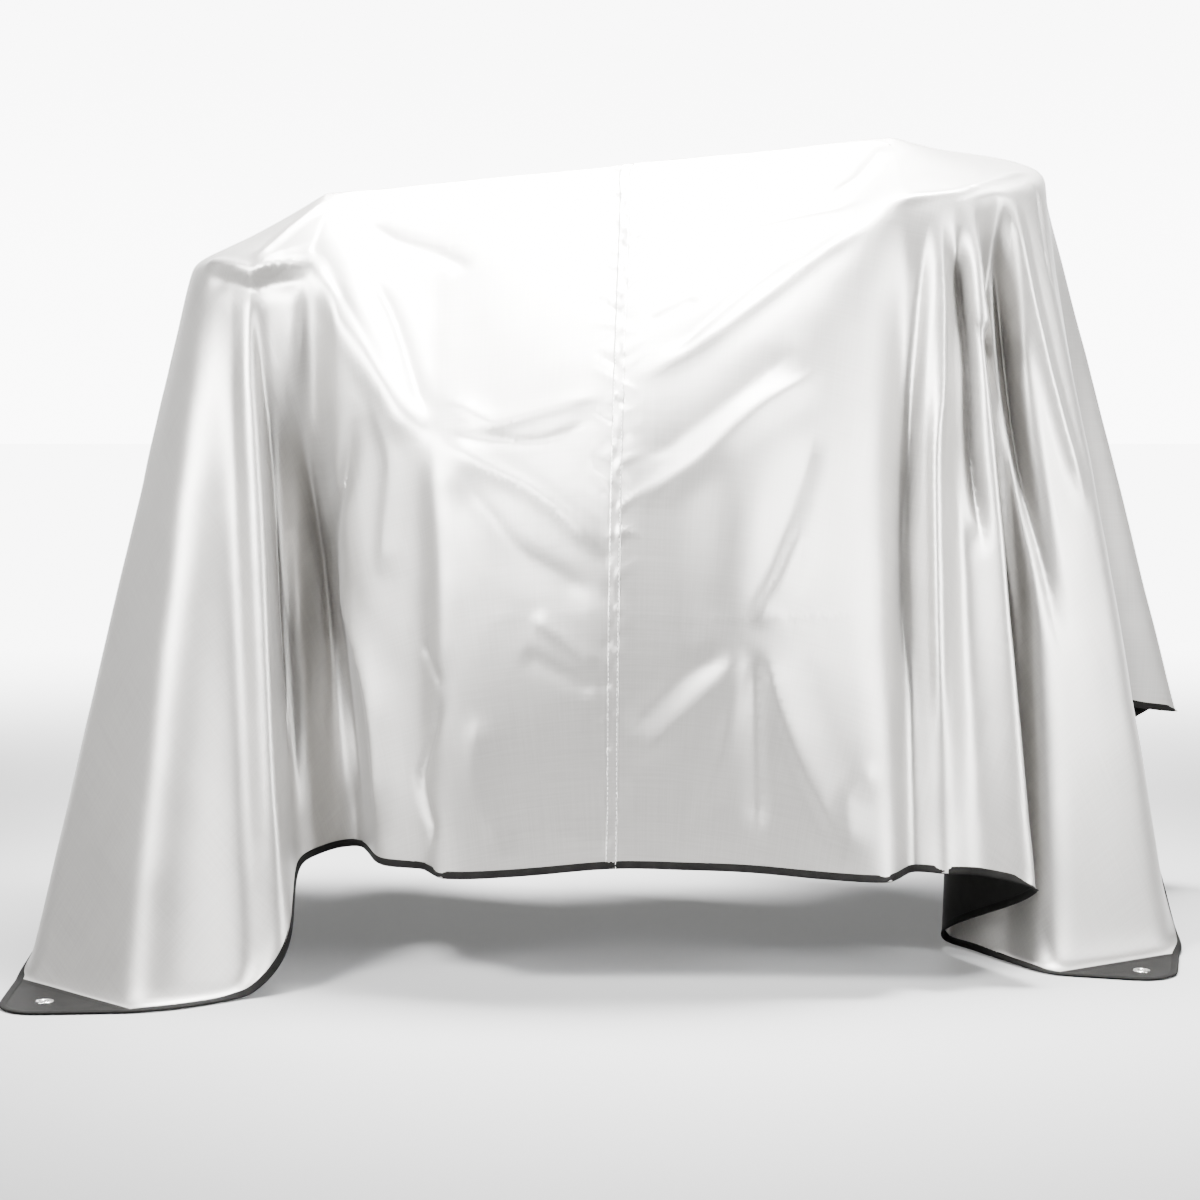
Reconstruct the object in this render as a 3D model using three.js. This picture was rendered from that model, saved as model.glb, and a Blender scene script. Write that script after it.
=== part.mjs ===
// Large silver cloth cover, hung loose over hidden rests, with a black bound hem
// and four black corner patches that hold eyelets. Millimetres, +Z up.
import * as THREE from "three";

// Cloth and trim sizes
const CLOTH = { thick: 2, gap: 0.3 };
const BINDING = { lip: 10, thick: 0.8 };
const PATCH = { round: 60, eyelet: 48, legPoints: 2, arcPoints: 6, edgePoints: 3, turn: 20, rings: 2 };
const EYELET = { hole: 12, barrel: 1.2, flange: 26, thick: 0.8, sides: 20 };

// Heights are above the surface the front corners lie on; ORIGIN is where the
// cover hangs, under the top where the seam crosses the ridge.
const ORIGIN = new THREE.Vector3(50, 22, 1262);
const LOWEST = 3;

// The two peaks, with a taut ridge from one to the other
const PEAK = {
  left: new THREE.Vector3(-449, 0, 1218),
  right: new THREE.Vector3(487, 55, 1314),
};
const RIDGE = { ring: 14, seamAt: 0.533, points: 9 };

// Round rims below the peaks that the cloth bends over; tilt lowers the front
const RIM = {
  left: { centre: new THREE.Vector3(-449, 0, 1097), radius: 226, tilt: 0, soft: 20 },
  right: { centre: new THREE.Vector3(487, 55, 1258), radius: 261, tilt: 13.5, soft: 20 },
};

// The free bends between the rims, from left to right: soft is how round the bend is
const FRONT_BEND = [
  { place: "left rim", x: -453, y: -226, z: 1095, soft: 20 },
  { place: "left fall", x: -397, y: -270, z: 985, soft: 40 },
  { place: "left low", x: -310, y: -350, z: 852, soft: 40 },
  { place: "left point", x: -247, y: -391, z: 818, soft: 30 },
  { place: "middle", x: -60, y: -398, z: 862, soft: 110 },
  { place: "seam", x: 30, y: -400, z: 892, soft: 130 },
  { place: "right rise", x: 200, y: -350, z: 985, soft: 130 },
  { place: "right high", x: 358, y: -258, z: 1093, soft: 90 },
  { place: "right rim", x: 446, y: -198, z: 1189, soft: 20 },
];
const BACK_BEND = [
  { place: "left rim", x: -430, y: 226, z: 1097, soft: 20 },
  { place: "left", x: -200, y: 190, z: 1110, soft: 70 },
  { place: "seam", x: 50, y: 185, z: 1150, soft: 80 },
  { place: "right", x: 300, y: 250, z: 1240, soft: 60 },
  { place: "right rim", x: 470, y: 308, z: 1318, soft: 20 },
];

// One row for each fold line, from the front seam round by the left. edge and at say
// where the line leaves the top (bearing in degrees on a rim, x on a bend), x, y and z
// are its foot on the hem, swell is how far it stands out half way down (in when it is
// below zero), kick is the length that turns out flat at the foot, if any, and steps is
// the number of columns to the next row.
const FOLDS = [
  { fold: "front seam", edge: "front", at: 30, x: 18, y: -525, z: 189, swell: 48, steps: 3 },
  { fold: "front left", edge: "front", at: -120, x: -119, y: -520, z: 176, swell: 40, steps: 3 },
  { fold: "left turn", edge: "front", at: -240, x: -238, y: -506, z: 170, swell: 22, steps: 2 },
  { fold: "left crease", edge: "front", at: -275, x: -264, y: -472, z: 177, swell: -4, steps: 2 },
  { fold: "left band", edge: "front", at: -385, x: -326, y: -440, z: 175, swell: 2, steps: 2 },
  { fold: "left step", edge: "front", at: -440, x: -345, y: -412, z: 178, swell: -8, steps: 2 },
  { fold: "left valley", edge: "left", at: -94, x: -372, y: -330, z: 184, swell: -38, steps: 2 },
  { fold: "left hollow", edge: "left", at: -97, x: -402, y: -334, z: 184, swell: -32, steps: 2 },
  { fold: "left inner ridge", edge: "left", at: -103, x: -432, y: -372, z: 181, swell: 14, steps: 3 },
  { fold: "left dark valley", edge: "left", at: -111, x: -461, y: -415, z: 168, swell: -48, steps: 3 },
  { fold: "left flare edge", edge: "left", at: -120, x: -464, y: -522, z: 62, swell: 8, steps: 3 },
  { fold: "left flare foot", edge: "left", at: -129, x: -520, y: -560, z: 4, swell: 0, kick: 30, steps: 3 },
  { fold: "left front corner", edge: "left", at: -146, x: -676, y: -642, z: 3,
    swell: 8, kick: 30, steps: 6, patch: true },
  { fold: "left outer edge", edge: "left", at: -174, x: -884, y: -459, z: 3, swell: 0, kick: 30, steps: 2 },
  { fold: "left edge foot", edge: "left", at: -180, x: -876, y: -335, z: 30, swell: 0, kick: 16, steps: 2 },
  { fold: "left edge rise", edge: "left", at: -186, x: -848, y: -205, z: 190, swell: -4, steps: 2 },
  { fold: "left side valley", edge: "left", at: -193, x: -770, y: -92, z: 370, swell: -15, steps: 2 },
  { fold: "left side ridge", edge: "left", at: -204, x: -805, y: 30, z: 520, swell: 15, steps: 2 },
  { fold: "left rear valley", edge: "left", at: -217, x: -660, y: 130, z: 540, swell: -20, steps: 2 },
  { fold: "left back corner", edge: "left", at: -226, x: -790, y: 250, z: 430,
    swell: 10, steps: 4, patch: true },
  { fold: "left back edge", edge: "left", at: -246, x: -560, y: 325, z: 415, swell: 10, steps: 2 },
  { fold: "back left valley", edge: "left", at: -262, x: -470, y: 230, z: 545, swell: -20, steps: 2 },
  { fold: "back left ridge", edge: "back", at: -300, x: -330, y: 350, z: 560, swell: 15, steps: 2 },
  { fold: "back middle valley", edge: "back", at: -130, x: -140, y: 190, z: 560, swell: -15, steps: 2 },
  { fold: "back seam", edge: "back", at: 50, x: 50, y: 265, z: 590, swell: 10, steps: 2 },
  { fold: "back right valley", edge: "back", at: 180, x: 205, y: 215, z: 640, swell: -15, steps: 2 },
  { fold: "back right ridge", edge: "back", at: 330, x: 330, y: 395, z: 720, swell: 15, steps: 3 },
  { fold: "right back valley", edge: "right", at: 92, x: 500, y: 310, z: 780, swell: -15, steps: 3 },
  { fold: "right back ridge", edge: "right", at: 76, x: 640, y: 470, z: 700, swell: 15, steps: 3 },
  { fold: "right rear valley", edge: "right", at: 60, x: 735, y: 350, z: 560, swell: -25, steps: 2 },
  { fold: "right back corner", edge: "right", at: 48, x: 785, y: 305, z: 376,
    swell: 10, steps: 4, patch: true },
  { fold: "right back edge", edge: "right", at: 18, x: 998, y: 245, z: 326, swell: 4, steps: 2 },
  { fold: "right tip ridge", edge: "right", at: 12, x: 1030, y: 214, z: 320, swell: 4, steps: 3 },
  { fold: "right strip", edge: "right", at: 4, x: 935, y: 160, z: 336, swell: -8, steps: 2 },
  { fold: "right side valley", edge: "right", at: -12, x: 815, y: 25, z: 372, swell: -25, steps: 2 },
  { fold: "right edge rise", edge: "right", at: -24, x: 890, y: -85, z: 205, swell: -4, steps: 2 },
  { fold: "right edge foot", edge: "right", at: -32, x: 932, y: -190, z: 26, swell: 6, kick: 16, steps: 3 },
  { fold: "right outer edge", edge: "right", at: -38, x: 915, y: -300, z: 3,
    swell: 20, kick: 30, steps: 6, patch: true },
  { fold: "right front corner", edge: "right", at: -46, x: 702, y: -425, z: 3,
    swell: 10, kick: 40, steps: 3 },
  { fold: "right flare foot", edge: "right", at: -49, x: 640, y: -348, z: 4, swell: 0, kick: 36, steps: 3 },
  { fold: "right fold foot", edge: "right", at: -52, x: 588, y: -262, z: 5, swell: -30, steps: 2 },
  { fold: "right deep valley", edge: "right", at: -55, x: 556, y: -226, z: 8, swell: -62, steps: 2 },
  { fold: "right fold back", edge: "right", at: -59, x: 546, y: -266, z: 36, swell: -50, steps: 4 },
  { fold: "right sharp ridge", edge: "right", at: -69, x: 660, y: -470, z: 144, swell: 10, steps: 3 },
  { fold: "right inner valley", edge: "right", at: -75, x: 572, y: -462, z: 166, swell: -18, steps: 3 },
  { fold: "right soft ridge", edge: "right", at: -82, x: 516, y: -492, z: 174, swell: 12, steps: 3 },
  { fold: "right soft valley", edge: "right", at: -92, x: 470, y: -470, z: 173, swell: -15, steps: 3 },
  { fold: "right turn", edge: "front", at: 420, x: 430, y: -524, z: 168, swell: 20, steps: 3 },
  { fold: "front right", edge: "front", at: 300, x: 340, y: -530, z: 173, swell: 42, steps: 3 },
  { fold: "front point", edge: "front", at: 190, x: 222, y: -529, z: 184, swell: 58, steps: 3 },
  { fold: "front middle", edge: "front", at: 110, x: 120, y: -525, z: 187, swell: 48, steps: 3 },
];

// Rows of points down each column: crown cells, then skirt cells, then the foot
const ROWS = { crown: 3, skirt: 8, foot: 80, laid: 30, lift: 0.22, sag: 6 };

const COLOURS = {
  cloth: { color: 0xcbc9c5, roughness: 0.42, metalness: 0.35 },
  binding: { color: 0x242322, roughness: 0.85, metalness: 0 },
  patch: { color: 0x33312f, roughness: 0.8, metalness: 0 },
  eyelet: { color: 0xd8d7d3, roughness: 0.3, metalness: 1 },
};

const UP = new THREE.Vector3(0, 0, 1);
const mix = (a, b, f) => a.clone().lerp(b, f);
const along = (from, to, length) => to.clone().sub(from).setLength(length).add(from);

// A point on a bend table at a given x
function bendPoint(table, x) {
  let k = 0;
  while (k < table.length - 2 && table[k + 1].x < x) k += 1;
  const [a, b] = [table[k], table[k + 1]];
  const f = (x - a.x) / (b.x - a.x);
  const at = (key) => THREE.MathUtils.lerp(a[key], b[key], f);
  return { point: new THREE.Vector3(x, at("y"), at("z")), soft: at("soft") };
}

// A point on a tilted rim at a bearing
function rimPoint(rim, bearing) {
  const angle = THREE.MathUtils.degToRad(bearing);
  const offset = new THREE.Vector3(Math.cos(angle), Math.sin(angle), 0).multiplyScalar(rim.radius);
  offset.applyAxisAngle(new THREE.Vector3(1, 0, 0), THREE.MathUtils.degToRad(rim.tilt));
  return { point: offset.add(rim.centre), soft: rim.soft };
}

// Start of a fold line on the ridge, its bend and its foot
function foldLine(row) {
  const onRim = row.edge in RIM;
  const table = row.edge === "front" ? FRONT_BEND : BACK_BEND;
  const bend = onRim ? rimPoint(RIM[row.edge], row.at) : bendPoint(table, row.at);
  const span = THREE.MathUtils.clamp((row.at - PEAK.left.x) / (PEAK.right.x - PEAK.left.x), 0, 1);
  const isSeam = row.fold.endsWith("seam");
  const share = onRim ? Number(row.edge === "right") : span;
  return {
    kick: 0,
    ...row,
    start: mix(PEAK.left, PEAK.right, isSeam ? RIDGE.seamAt : share),
    bend: bend.point,
    soft: bend.soft,
    foot: new THREE.Vector3(row.x, row.y, row.z),
  };
}

const LINES = FOLDS.map(foldLine);
const lineAt = (k) => LINES[(k + LINES.length) % LINES.length];

// Smooth curve through four neighbouring values, spaced by the feet of their lines
function blend(k, f, read) {
  const [a, b, c, d] = [-1, 0, 1, 2].map((n) => lineAt(k + n));
  const width = (p, q) => Math.sqrt(p.foot.distanceTo(q.foot));
  const [before, here, after] = [width(a, b), width(b, c), width(c, d)];
  const [va, vb, vc, vd] = [a, b, c, d].map(read);
  const tangent = (p, q, r, left, right) => {
    const whole = left + right;
    return ((q - p) / left) * (right / whole) + ((r - q) / right) * (left / whole);
  };
  const mb = tangent(va, vb, vc, before, here) * here;
  const mc = tangent(vb, vc, vd, here, after) * here;
  const [f2, f3] = [f * f, f * f * f];
  return (2 * f3 - 3 * f2 + 1) * vb + (f3 - 2 * f2 + f) * mb + (3 * f2 - 2 * f3) * vc + (f3 - f2) * mc;
}

function blendPoint(k, f, key) {
  const axis = (name) => blend(k, f, (line) => line[key][name]);
  return new THREE.Vector3(axis("x"), axis("y"), axis("z"));
}

// The fold line at a fraction between two rows
function lineBetween(k, f) {
  const [a, b] = [lineAt(k), lineAt(k + 1)];
  if (f === 0) return { ...a, inner: false };
  const foot = a.patch ? mix(a.foot, b.foot, f) : blendPoint(k, f, "foot");
  foot.z = Math.max(foot.z, LOWEST);
  return {
    start: mix(a.start, b.start, f),
    bend: a.edge === b.edge && a.edge in RIM
      ? rimPoint(RIM[a.edge], THREE.MathUtils.lerp(a.at, b.at, f)).point
      : blendPoint(k, f, "bend"),
    foot,
    soft: THREE.MathUtils.lerp(a.soft, b.soft, f),
    swell: blend(k, f, (line) => line.swell),
    kick: a.patch ? a.kick : THREE.MathUtils.lerp(a.kick, b.kick, f),
    inner: Boolean(a.patch),
  };
}

// Points down one column, from close to the ridge to the hem
function columnPoints(line) {
  const { start, bend, foot, soft, swell, kick } = line;
  const out = foot.clone().sub(start).setZ(0).normalize();
  const hung = along(foot, bend, ROWS.foot);
  const inward = bend.clone().sub(foot).setZ(0).normalize();
  const laid = foot.clone().addScaledVector(inward, kick).addScaledVector(UP, ROWS.lift * kick);
  const knee = mix(hung, laid, Math.min(kick / ROWS.laid, 1));
  const height = bend.distanceTo(knee);
  const skirt = (x) => mix(bend, knee, x).addScaledVector(out, swell * 4 * x * (1 - x));
  const turn = Math.min(soft, 0.4 * bend.distanceTo(start));
  const bendIn = along(bend, start, turn);
  const bendOut = skirt(turn / height);
  const points = [];
  const first = along(start, bend, RIDGE.ring);
  for (let n = 0; n <= ROWS.crown; n += 1) {
    const f = n / ROWS.crown;
    points.push(mix(first, bendIn, f).addScaledVector(UP, -ROWS.sag * 4 * f * (1 - f)));
  }
  points.push(mix(mix(bendIn, bend, 0.5), mix(bend, bendOut, 0.5), 0.5));
  for (let n = 0; n <= ROWS.skirt; n += 1) {
    points.push(skirt(THREE.MathUtils.lerp(turn / height, 1, n / ROWS.skirt)));
  }
  points.push(along(foot, points[points.length - 1], BINDING.lip), foot.clone());
  return points;
}

// All columns round the cover; inner ones end on the straight edge of a corner patch
function allColumns() {
  const columns = [];
  LINES.forEach((row, k) => {
    for (let n = 0; n < row.steps; n += 1) {
      const line = lineBetween(k, n / row.steps);
      const { inner, start } = line;
      columns.push({ points: columnPoints(line), row: n === 0 ? row.fold : null, inner, start });
    }
  });
  return columns;
}

const COLUMNS = allColumns();
const SEAM_BACK = COLUMNS.findIndex((column) => column.row === "back seam");

// Triangles between two chains of vertices that run the same way
function zip(chainA, chainB, keyA, keyB) {
  const triangles = [];
  let [i, j] = [0, 0];
  while (i < chainA.length - 1 || j < chainB.length - 1) {
    const stepA = j === chainB.length - 1 || (i < chainA.length - 1 && keyA[i + 1] <= keyB[j + 1]);
    if (stepA) triangles.push([chainA[i], chainA[i + 1], chainB[j]]);
    else triangles.push([chainA[i], chainB[j + 1], chainB[j]]);
    if (stepA) i += 1;
    else j += 1;
  }
  return triangles;
}

// Area-weighted normals of a sheet
function sheetNormals(points, triangles) {
  const normals = points.map(() => new THREE.Vector3());
  for (const [a, b, c] of triangles) {
    const face = points[b].clone().sub(points[a]).cross(points[c].clone().sub(points[a]));
    for (const k of [a, b, c]) normals[k].add(face);
  }
  return normals.map((normal) => normal.normalize());
}

// Both faces of a sheet and the strip that closes its edge
function thicken(points, triangles, normals, thick) {
  const count = points.length;
  const vertices = [...points.map((p, k) => p.clone().addScaledVector(normals[k], thick / 2)),
    ...points.map((p, k) => p.clone().addScaledVector(normals[k], -thick / 2))];
  const faces = [];
  const edges = new Set();
  for (const [a, b, c] of triangles) {
    faces.push([a, b, c], [c + count, b + count, a + count]);
    for (const [p, q] of [[a, b], [b, c], [c, a]]) edges.add(p * count + q);
  }
  for (const edge of edges) {
    const [p, q] = [Math.floor(edge / count), edge % count];
    if (edges.has(q * count + p)) continue;
    faces.push([p, p + count, q], [q, p + count, q + count]);
  }
  return solid(vertices, faces);
}

// Indexed geometry with its faces pointing out
function solid(vertices, faces) {
  let volume = 0;
  for (const [a, b, c] of faces) volume += vertices[a].dot(vertices[b].clone().cross(vertices[c]));
  const index = faces.flatMap(([a, b, c]) => (volume > 0 ? [a, b, c] : [a, c, b]));
  const geometry = new THREE.BufferGeometry();
  const places = vertices.flatMap((v) => v.toArray());
  geometry.setAttribute("position", new THREE.Float32BufferAttribute(places, 3));
  geometry.setIndex(index);
  geometry.computeVertexNormals();
  return geometry;
}

// One cloth panel: its columns from one seam line to the other, closed along the ridge
function panelSheet(columns, peak) {
  const rows = columns[0].points.length;
  const points = columns.flatMap((column) => column.points.map((p) => p.clone()));
  const at = (c, r) => c * rows + r;
  const triangles = [];
  for (let c = 0; c < columns.length - 1; c += 1) {
    for (let r = 0; r < rows - 1; r += 1) {
      const [a, b, d, e] = [at(c, r), at(c + 1, r), at(c + 1, r + 1), at(c, r + 1)];
      triangles.push([a, b, d], [a, d, e]);
    }
  }
  const seamTop = mix(PEAK.left, PEAK.right, RIDGE.seamAt);
  const axis = peak.clone().sub(seamTop).normalize();
  const reach = (p) => p.clone().sub(seamTop).dot(axis);
  const ridge = [];
  for (let n = 0; n < RIDGE.points; n += 1) {
    ridge.push(points.length);
    points.push(mix(seamTop, peak, n / (RIDGE.points - 1)));
  }
  const reaches = columns.map((column) => reach(column.points[0]));
  const apex = reaches.indexOf(Math.max(...reaches));
  const near = columns.map((_, c) => at(c, 0)).slice(0, apex + 1);
  const far = columns.map((_, c) => at(c, 0)).slice(apex).reverse();
  const keys = (chain) => chain.map((k) => reach(points[k]));
  for (const [a, b, c] of zip(near, ridge, keys(near), keys(ridge))) triangles.push([b, a, c]);
  triangles.push(...zip(far, ridge, keys(far), keys(ridge)));
  const normals = sheetNormals(points, triangles);
  return { points, triangles, normals, rows, at, last: columns.length - 1, top: ridge[0] };
}

// The flat corner between two fold lines: its middle, its axes and its outline
function cornerFrame(k) {
  const first = COLUMNS.findIndex((column) => column.row === LINES[k].fold);
  const count = LINES[k].steps;
  const span = [];
  for (let n = 0; n <= count; n += 1) span.push(COLUMNS[(first + n) % COLUMNS.length]);
  const feet = span.map((column) => column.points[column.points.length - 1]);
  const [from, to] = [feet[0], feet[count]];
  const middle = span[count / 2].points;
  const across = to.clone().sub(from).normalize();
  const down = feet[count / 2].clone().sub(middle[middle.length - 3]);
  if (LINES[k].kick > 0) down.z = 0;
  down.addScaledVector(across, -down.dot(across)).normalize();
  const half = 0.5 * from.distanceTo(to);
  const normal = across.clone().cross(down);
  return { name: LINES[k].fold, first, count, span, from, to, across, down, half, normal };
}

// Hem of a patch in its own plane: across, down and the direction in from the edge
function cornerHem(corner) {
  const { half } = corner;
  const slope = Math.SQRT1_2;
  const centre = half - PATCH.round / slope;
  const tangent = [PATCH.round * slope, centre + PATCH.round * slope];
  const hem = [];
  for (let n = 1; n <= PATCH.legPoints; n += 1) {
    const f = n / (PATCH.legPoints + 1);
    const a = THREE.MathUtils.lerp(-half, -tangent[0], f);
    hem.push({ a, d: f * tangent[1], inA: slope, inD: -slope });
  }
  for (let n = 0; n <= PATCH.arcPoints; n += 1) {
    const angle = 0.75 * Math.PI - 0.5 * Math.PI * (n / PATCH.arcPoints);
    const [ca, sa] = [Math.cos(angle), Math.sin(angle)];
    hem.push({ a: PATCH.round * ca, d: centre + PATCH.round * sa, inA: -ca, inD: -sa });
  }
  const leg = hem.slice(0, PATCH.legPoints).reverse();
  return [...hem, ...leg.map((h) => ({ a: -h.a, d: h.d, inA: -h.inA, inD: h.inD }))];
}

// Patch outline from its hem and its straight edge, clear of the panel
function patchOutline(corner) {
  const inset = CLOTH.gap;
  const end = corner.half - 3 * inset;
  const outline = cornerHem(corner).map(({ a, d }) => new THREE.Vector2(a, d));
  outline.unshift(new THREE.Vector2(-end, inset));
  for (let n = 0; n <= PATCH.edgePoints; n += 1) {
    outline.push(new THREE.Vector2(end - (2 * end * n) / (PATCH.edgePoints + 1), inset));
  }
  return outline;
}

// The outline cut so finely that its points make a round hole
function finerOutline(outline, centre) {
  const step = THREE.MathUtils.degToRad(PATCH.turn);
  return outline.flatMap((from, k) => {
    const to = outline[(k + 1) % outline.length];
    const angle = Math.abs(from.clone().sub(centre).angleTo(to.clone().sub(centre)));
    const cuts = Math.ceil(angle / step);
    return Array.from({ length: cuts }, (_, n) => from.clone().lerp(to, n / cuts));
  });
}

// Flat patch with a round hole, built in rings from the hole to the outline
function patchGeometry(corner) {
  const centre = new THREE.Vector2(0, PATCH.eyelet);
  const outline = finerOutline(patchOutline(corner), centre);
  const hole = 0.5 * EYELET.hole + EYELET.barrel + CLOTH.gap;
  const points = [];
  const triangles = [];
  const count = outline.length;
  outline.forEach((edge) => {
    const inner = edge.clone().sub(centre).setLength(hole).add(centre);
    for (let n = 0; n <= PATCH.rings; n += 1) {
      const at = inner.clone().lerp(edge, n / PATCH.rings);
      points.push(new THREE.Vector3(at.x, at.y, 0));
    }
  });
  const at = (k, n) => (k % count) * (PATCH.rings + 1) + n;
  for (let k = 0; k < count; k += 1) {
    for (let n = 0; n < PATCH.rings; n += 1) {
      triangles.push([at(k, n), at(k, n + 1), at(k + 1, n + 1)]);
      triangles.push([at(k, n), at(k + 1, n + 1), at(k + 1, n)]);
    }
  }
  return thicken(points, triangles, points.map(() => UP), CLOTH.thick);
}

// Two flanges on a short barrel, turned round the hole's axis
function eyeletGeometry() {
  const [bore, flange] = [0.5 * EYELET.hole, 0.5 * EYELET.flange];
  const under = 0.5 * CLOTH.thick + CLOTH.gap;
  const over = under + EYELET.thick;
  const barrel = bore + EYELET.barrel;
  const profile = [[bore, -over], [flange, -over], [flange, -under], [barrel, -under],
    [barrel, under], [flange, under], [flange, over], [bore, over], [bore, -over]];
  const turned = profile.map(([r, z]) => new THREE.Vector2(r, z));
  return new THREE.LatheGeometry(turned, EYELET.sides).rotateX(Math.PI / 2);
}

// Folded tape along the whole hem: both lips and the web outside the edge
function bindingGeometry(stations) {
  const inner = 0.5 * CLOTH.thick + CLOTH.gap;
  const outer = inner + BINDING.thick;
  const web = CLOTH.gap + BINDING.thick;
  const profile = [[BINDING.lip, outer], [BINDING.lip, inner], [-CLOTH.gap, inner], [-CLOTH.gap, -inner],
    [BINDING.lip, -inner], [BINDING.lip, -outer], [-web, -outer], [-web, outer]];
  const vertices = stations.flatMap(({ edge, inward, normal }) => profile.map(([a, n]) => (
    edge.clone().addScaledVector(inward, a).addScaledVector(normal, n))));
  const faces = [];
  const size = profile.length;
  stations.forEach((_, k) => {
    const next = (k + 1) % stations.length;
    for (let n = 0; n < size; n += 1) {
      const m = (n + 1) % size;
      const [a, b, c, d] = [k * size + n, next * size + n, next * size + m, k * size + m];
      if (n === 3 || n === 7) faces.push([a, b, d], [b, c, d]);
      else faces.push([a, b, c], [a, c, d]);
    }
  });
  return solid(vertices, faces);
}

const CORNERS = LINES.flatMap((line, k) => (line.patch ? [cornerFrame(k)] : []));

// Points of the hem in order, by the corner patches
const HEM = COLUMNS.flatMap((column, k) => {
  if (column.inner) return [];
  const corner = CORNERS.find((c) => c.first === k);
  const here = { column, edge: column.points[column.points.length - 1] };
  if (!corner) return [here];
  const centre = mix(corner.from, corner.to, 0.5);
  const place = (a, d) => corner.across.clone().multiplyScalar(a).addScaledVector(corner.down, d);
  const round = cornerHem(corner).map(({ a, d, inA, inD }) => (
    { column: null, edge: place(a, d).add(centre), inward: place(inA, inD), normal: corner.normal }));
  return [here, ...round];
});

// Each station of the binding stands square to the hem; a column ends along it,
// and beside a patch it lies flat with the patch
const flatBeside = new Map(CORNERS.flatMap((corner) => corner.span.map((column) => [column, corner])));
const STATIONS = HEM.map((here, k) => {
  if (here.column === null) return here;
  const before = HEM[(k + HEM.length - 1) % HEM.length].edge;
  const after = HEM[(k + 1) % HEM.length].edge;
  const tangent = here.edge.clone().sub(before).normalize().add(after.clone().sub(here.edge).normalize());
  const points = here.column.points;
  const inward = points[points.length - 3].clone().sub(here.edge);
  const corner = flatBeside.get(here.column);
  for (const v of corner ? [tangent, inward] : []) v.addScaledVector(corner.normal, -v.dot(corner.normal));
  tangent.normalize();
  inward.addScaledVector(tangent, -inward.dot(tangent)).normalize();
  points[points.length - 2].copy(here.edge).addScaledVector(inward, BINDING.lip);
  return { ...here, inward, normal: corner ? corner.normal : inward.clone().cross(tangent) };
});
for (const corner of CORNERS) {
  for (const { points, inner } of corner.span) {
    const [foot, lip] = [points[points.length - 1], points[points.length - 2]];
    if (inner) lip.copy(foot).addScaledVector(corner.down, -BINDING.lip);
  }
}

const LEFT_COLUMNS = COLUMNS.slice(0, SEAM_BACK + 1);
const RIGHT_COLUMNS = [...COLUMNS.slice(SEAM_BACK), COLUMNS[0]];
const SHEETS = [
  { name: "panel_left", side: -1, first: 0, ...panelSheet(LEFT_COLUMNS, PEAK.left) },
  { name: "panel_right", side: 1, first: SEAM_BACK, ...panelSheet(RIGHT_COLUMNS, PEAK.right) },
];

// The panels share their normals along the seam
const share = (a, b) => {
  const normal = a.clone().add(b).normalize();
  a.copy(normal);
  b.copy(normal);
};
share(SHEETS[0].normals[SHEETS[0].top], SHEETS[1].normals[SHEETS[1].top]);
for (let r = 0; r < SHEETS[0].rows; r += 1) {
  share(SHEETS[0].normals[SHEETS[0].at(0, r)], SHEETS[1].normals[SHEETS[1].at(SHEETS[1].last, r)]);
  share(SHEETS[0].normals[SHEETS[0].at(SHEETS[0].last, r)], SHEETS[1].normals[SHEETS[1].at(0, r)]);
}

// The binding holds both hem rows of a column square to one normal
const hemNormal = new Map(STATIONS.map((station) => [station.column, station.normal]));
for (const sheet of SHEETS) {
  for (let c = 0; c <= sheet.last; c += 1) {
    const column = COLUMNS[(sheet.first + c) % COLUMNS.length];
    const normal = column.inner ? flatBeside.get(column).normal : hemNormal.get(column);
    for (const r of [sheet.rows - 2, sheet.rows - 1]) sheet.normals[sheet.at(c, r)].copy(normal);
  }
}

const cover = new THREE.Group();
cover.position.copy(ORIGIN).negate();

function addMesh(name, geometry, look) {
  const mesh = new THREE.Mesh(geometry, new THREE.MeshStandardMaterial(COLOURS[look]));
  mesh.name = name;
  cover.add(mesh);
  return mesh;
}

for (const sheet of SHEETS) {
  const seam = [sheet.top];
  for (let r = 0; r < sheet.rows; r += 1) seam.push(sheet.at(0, r), sheet.at(sheet.last, r));
  for (const k of seam) sheet.points[k].x += sheet.side * 0.5 * CLOTH.gap;
  addMesh(sheet.name, thicken(sheet.points, sheet.triangles, sheet.normals, CLOTH.thick), "cloth");
}
addMesh("hem_binding", bindingGeometry(STATIONS), "binding");

const CORNER_NAMES = { "left front corner": "front_left", "left back corner": "back_left",
  "right back corner": "back_right", "right outer edge": "front_right" };
for (const corner of CORNERS) {
  const basis = new THREE.Matrix4().makeBasis(corner.across, corner.down, corner.normal);
  const centre = mix(corner.from, corner.to, 0.5);
  const patch = addMesh(`corner_patch_${CORNER_NAMES[corner.name]}`, patchGeometry(corner), "patch");
  patch.position.copy(centre);
  patch.quaternion.setFromRotationMatrix(basis);
  const eyelet = addMesh(`eyelet_${CORNER_NAMES[corner.name]}`, eyeletGeometry(), "eyelet");
  eyelet.position.copy(centre).addScaledVector(corner.down, PATCH.eyelet);
  eyelet.quaternion.copy(patch.quaternion);
}

export default cover;
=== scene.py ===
"""Silver cloth cover with a centre seam, a black bound hem and black corner patches that hold eyelets.

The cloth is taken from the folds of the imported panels, made fine and smooth, and then gets its creases,
its felled seam with two rows of stitching, its folded tape, its patches and its eyelets. Metres, +Z up.
"""

from __future__ import annotations

import logging
import math
import random
from dataclasses import dataclass, field
from enum import Enum
from typing import Any, Iterable, Sequence

import bmesh
import bpy
import numpy as np
from mathutils import Matrix, Vector, noise
from mathutils.bvhtree import BVHTree

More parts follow.
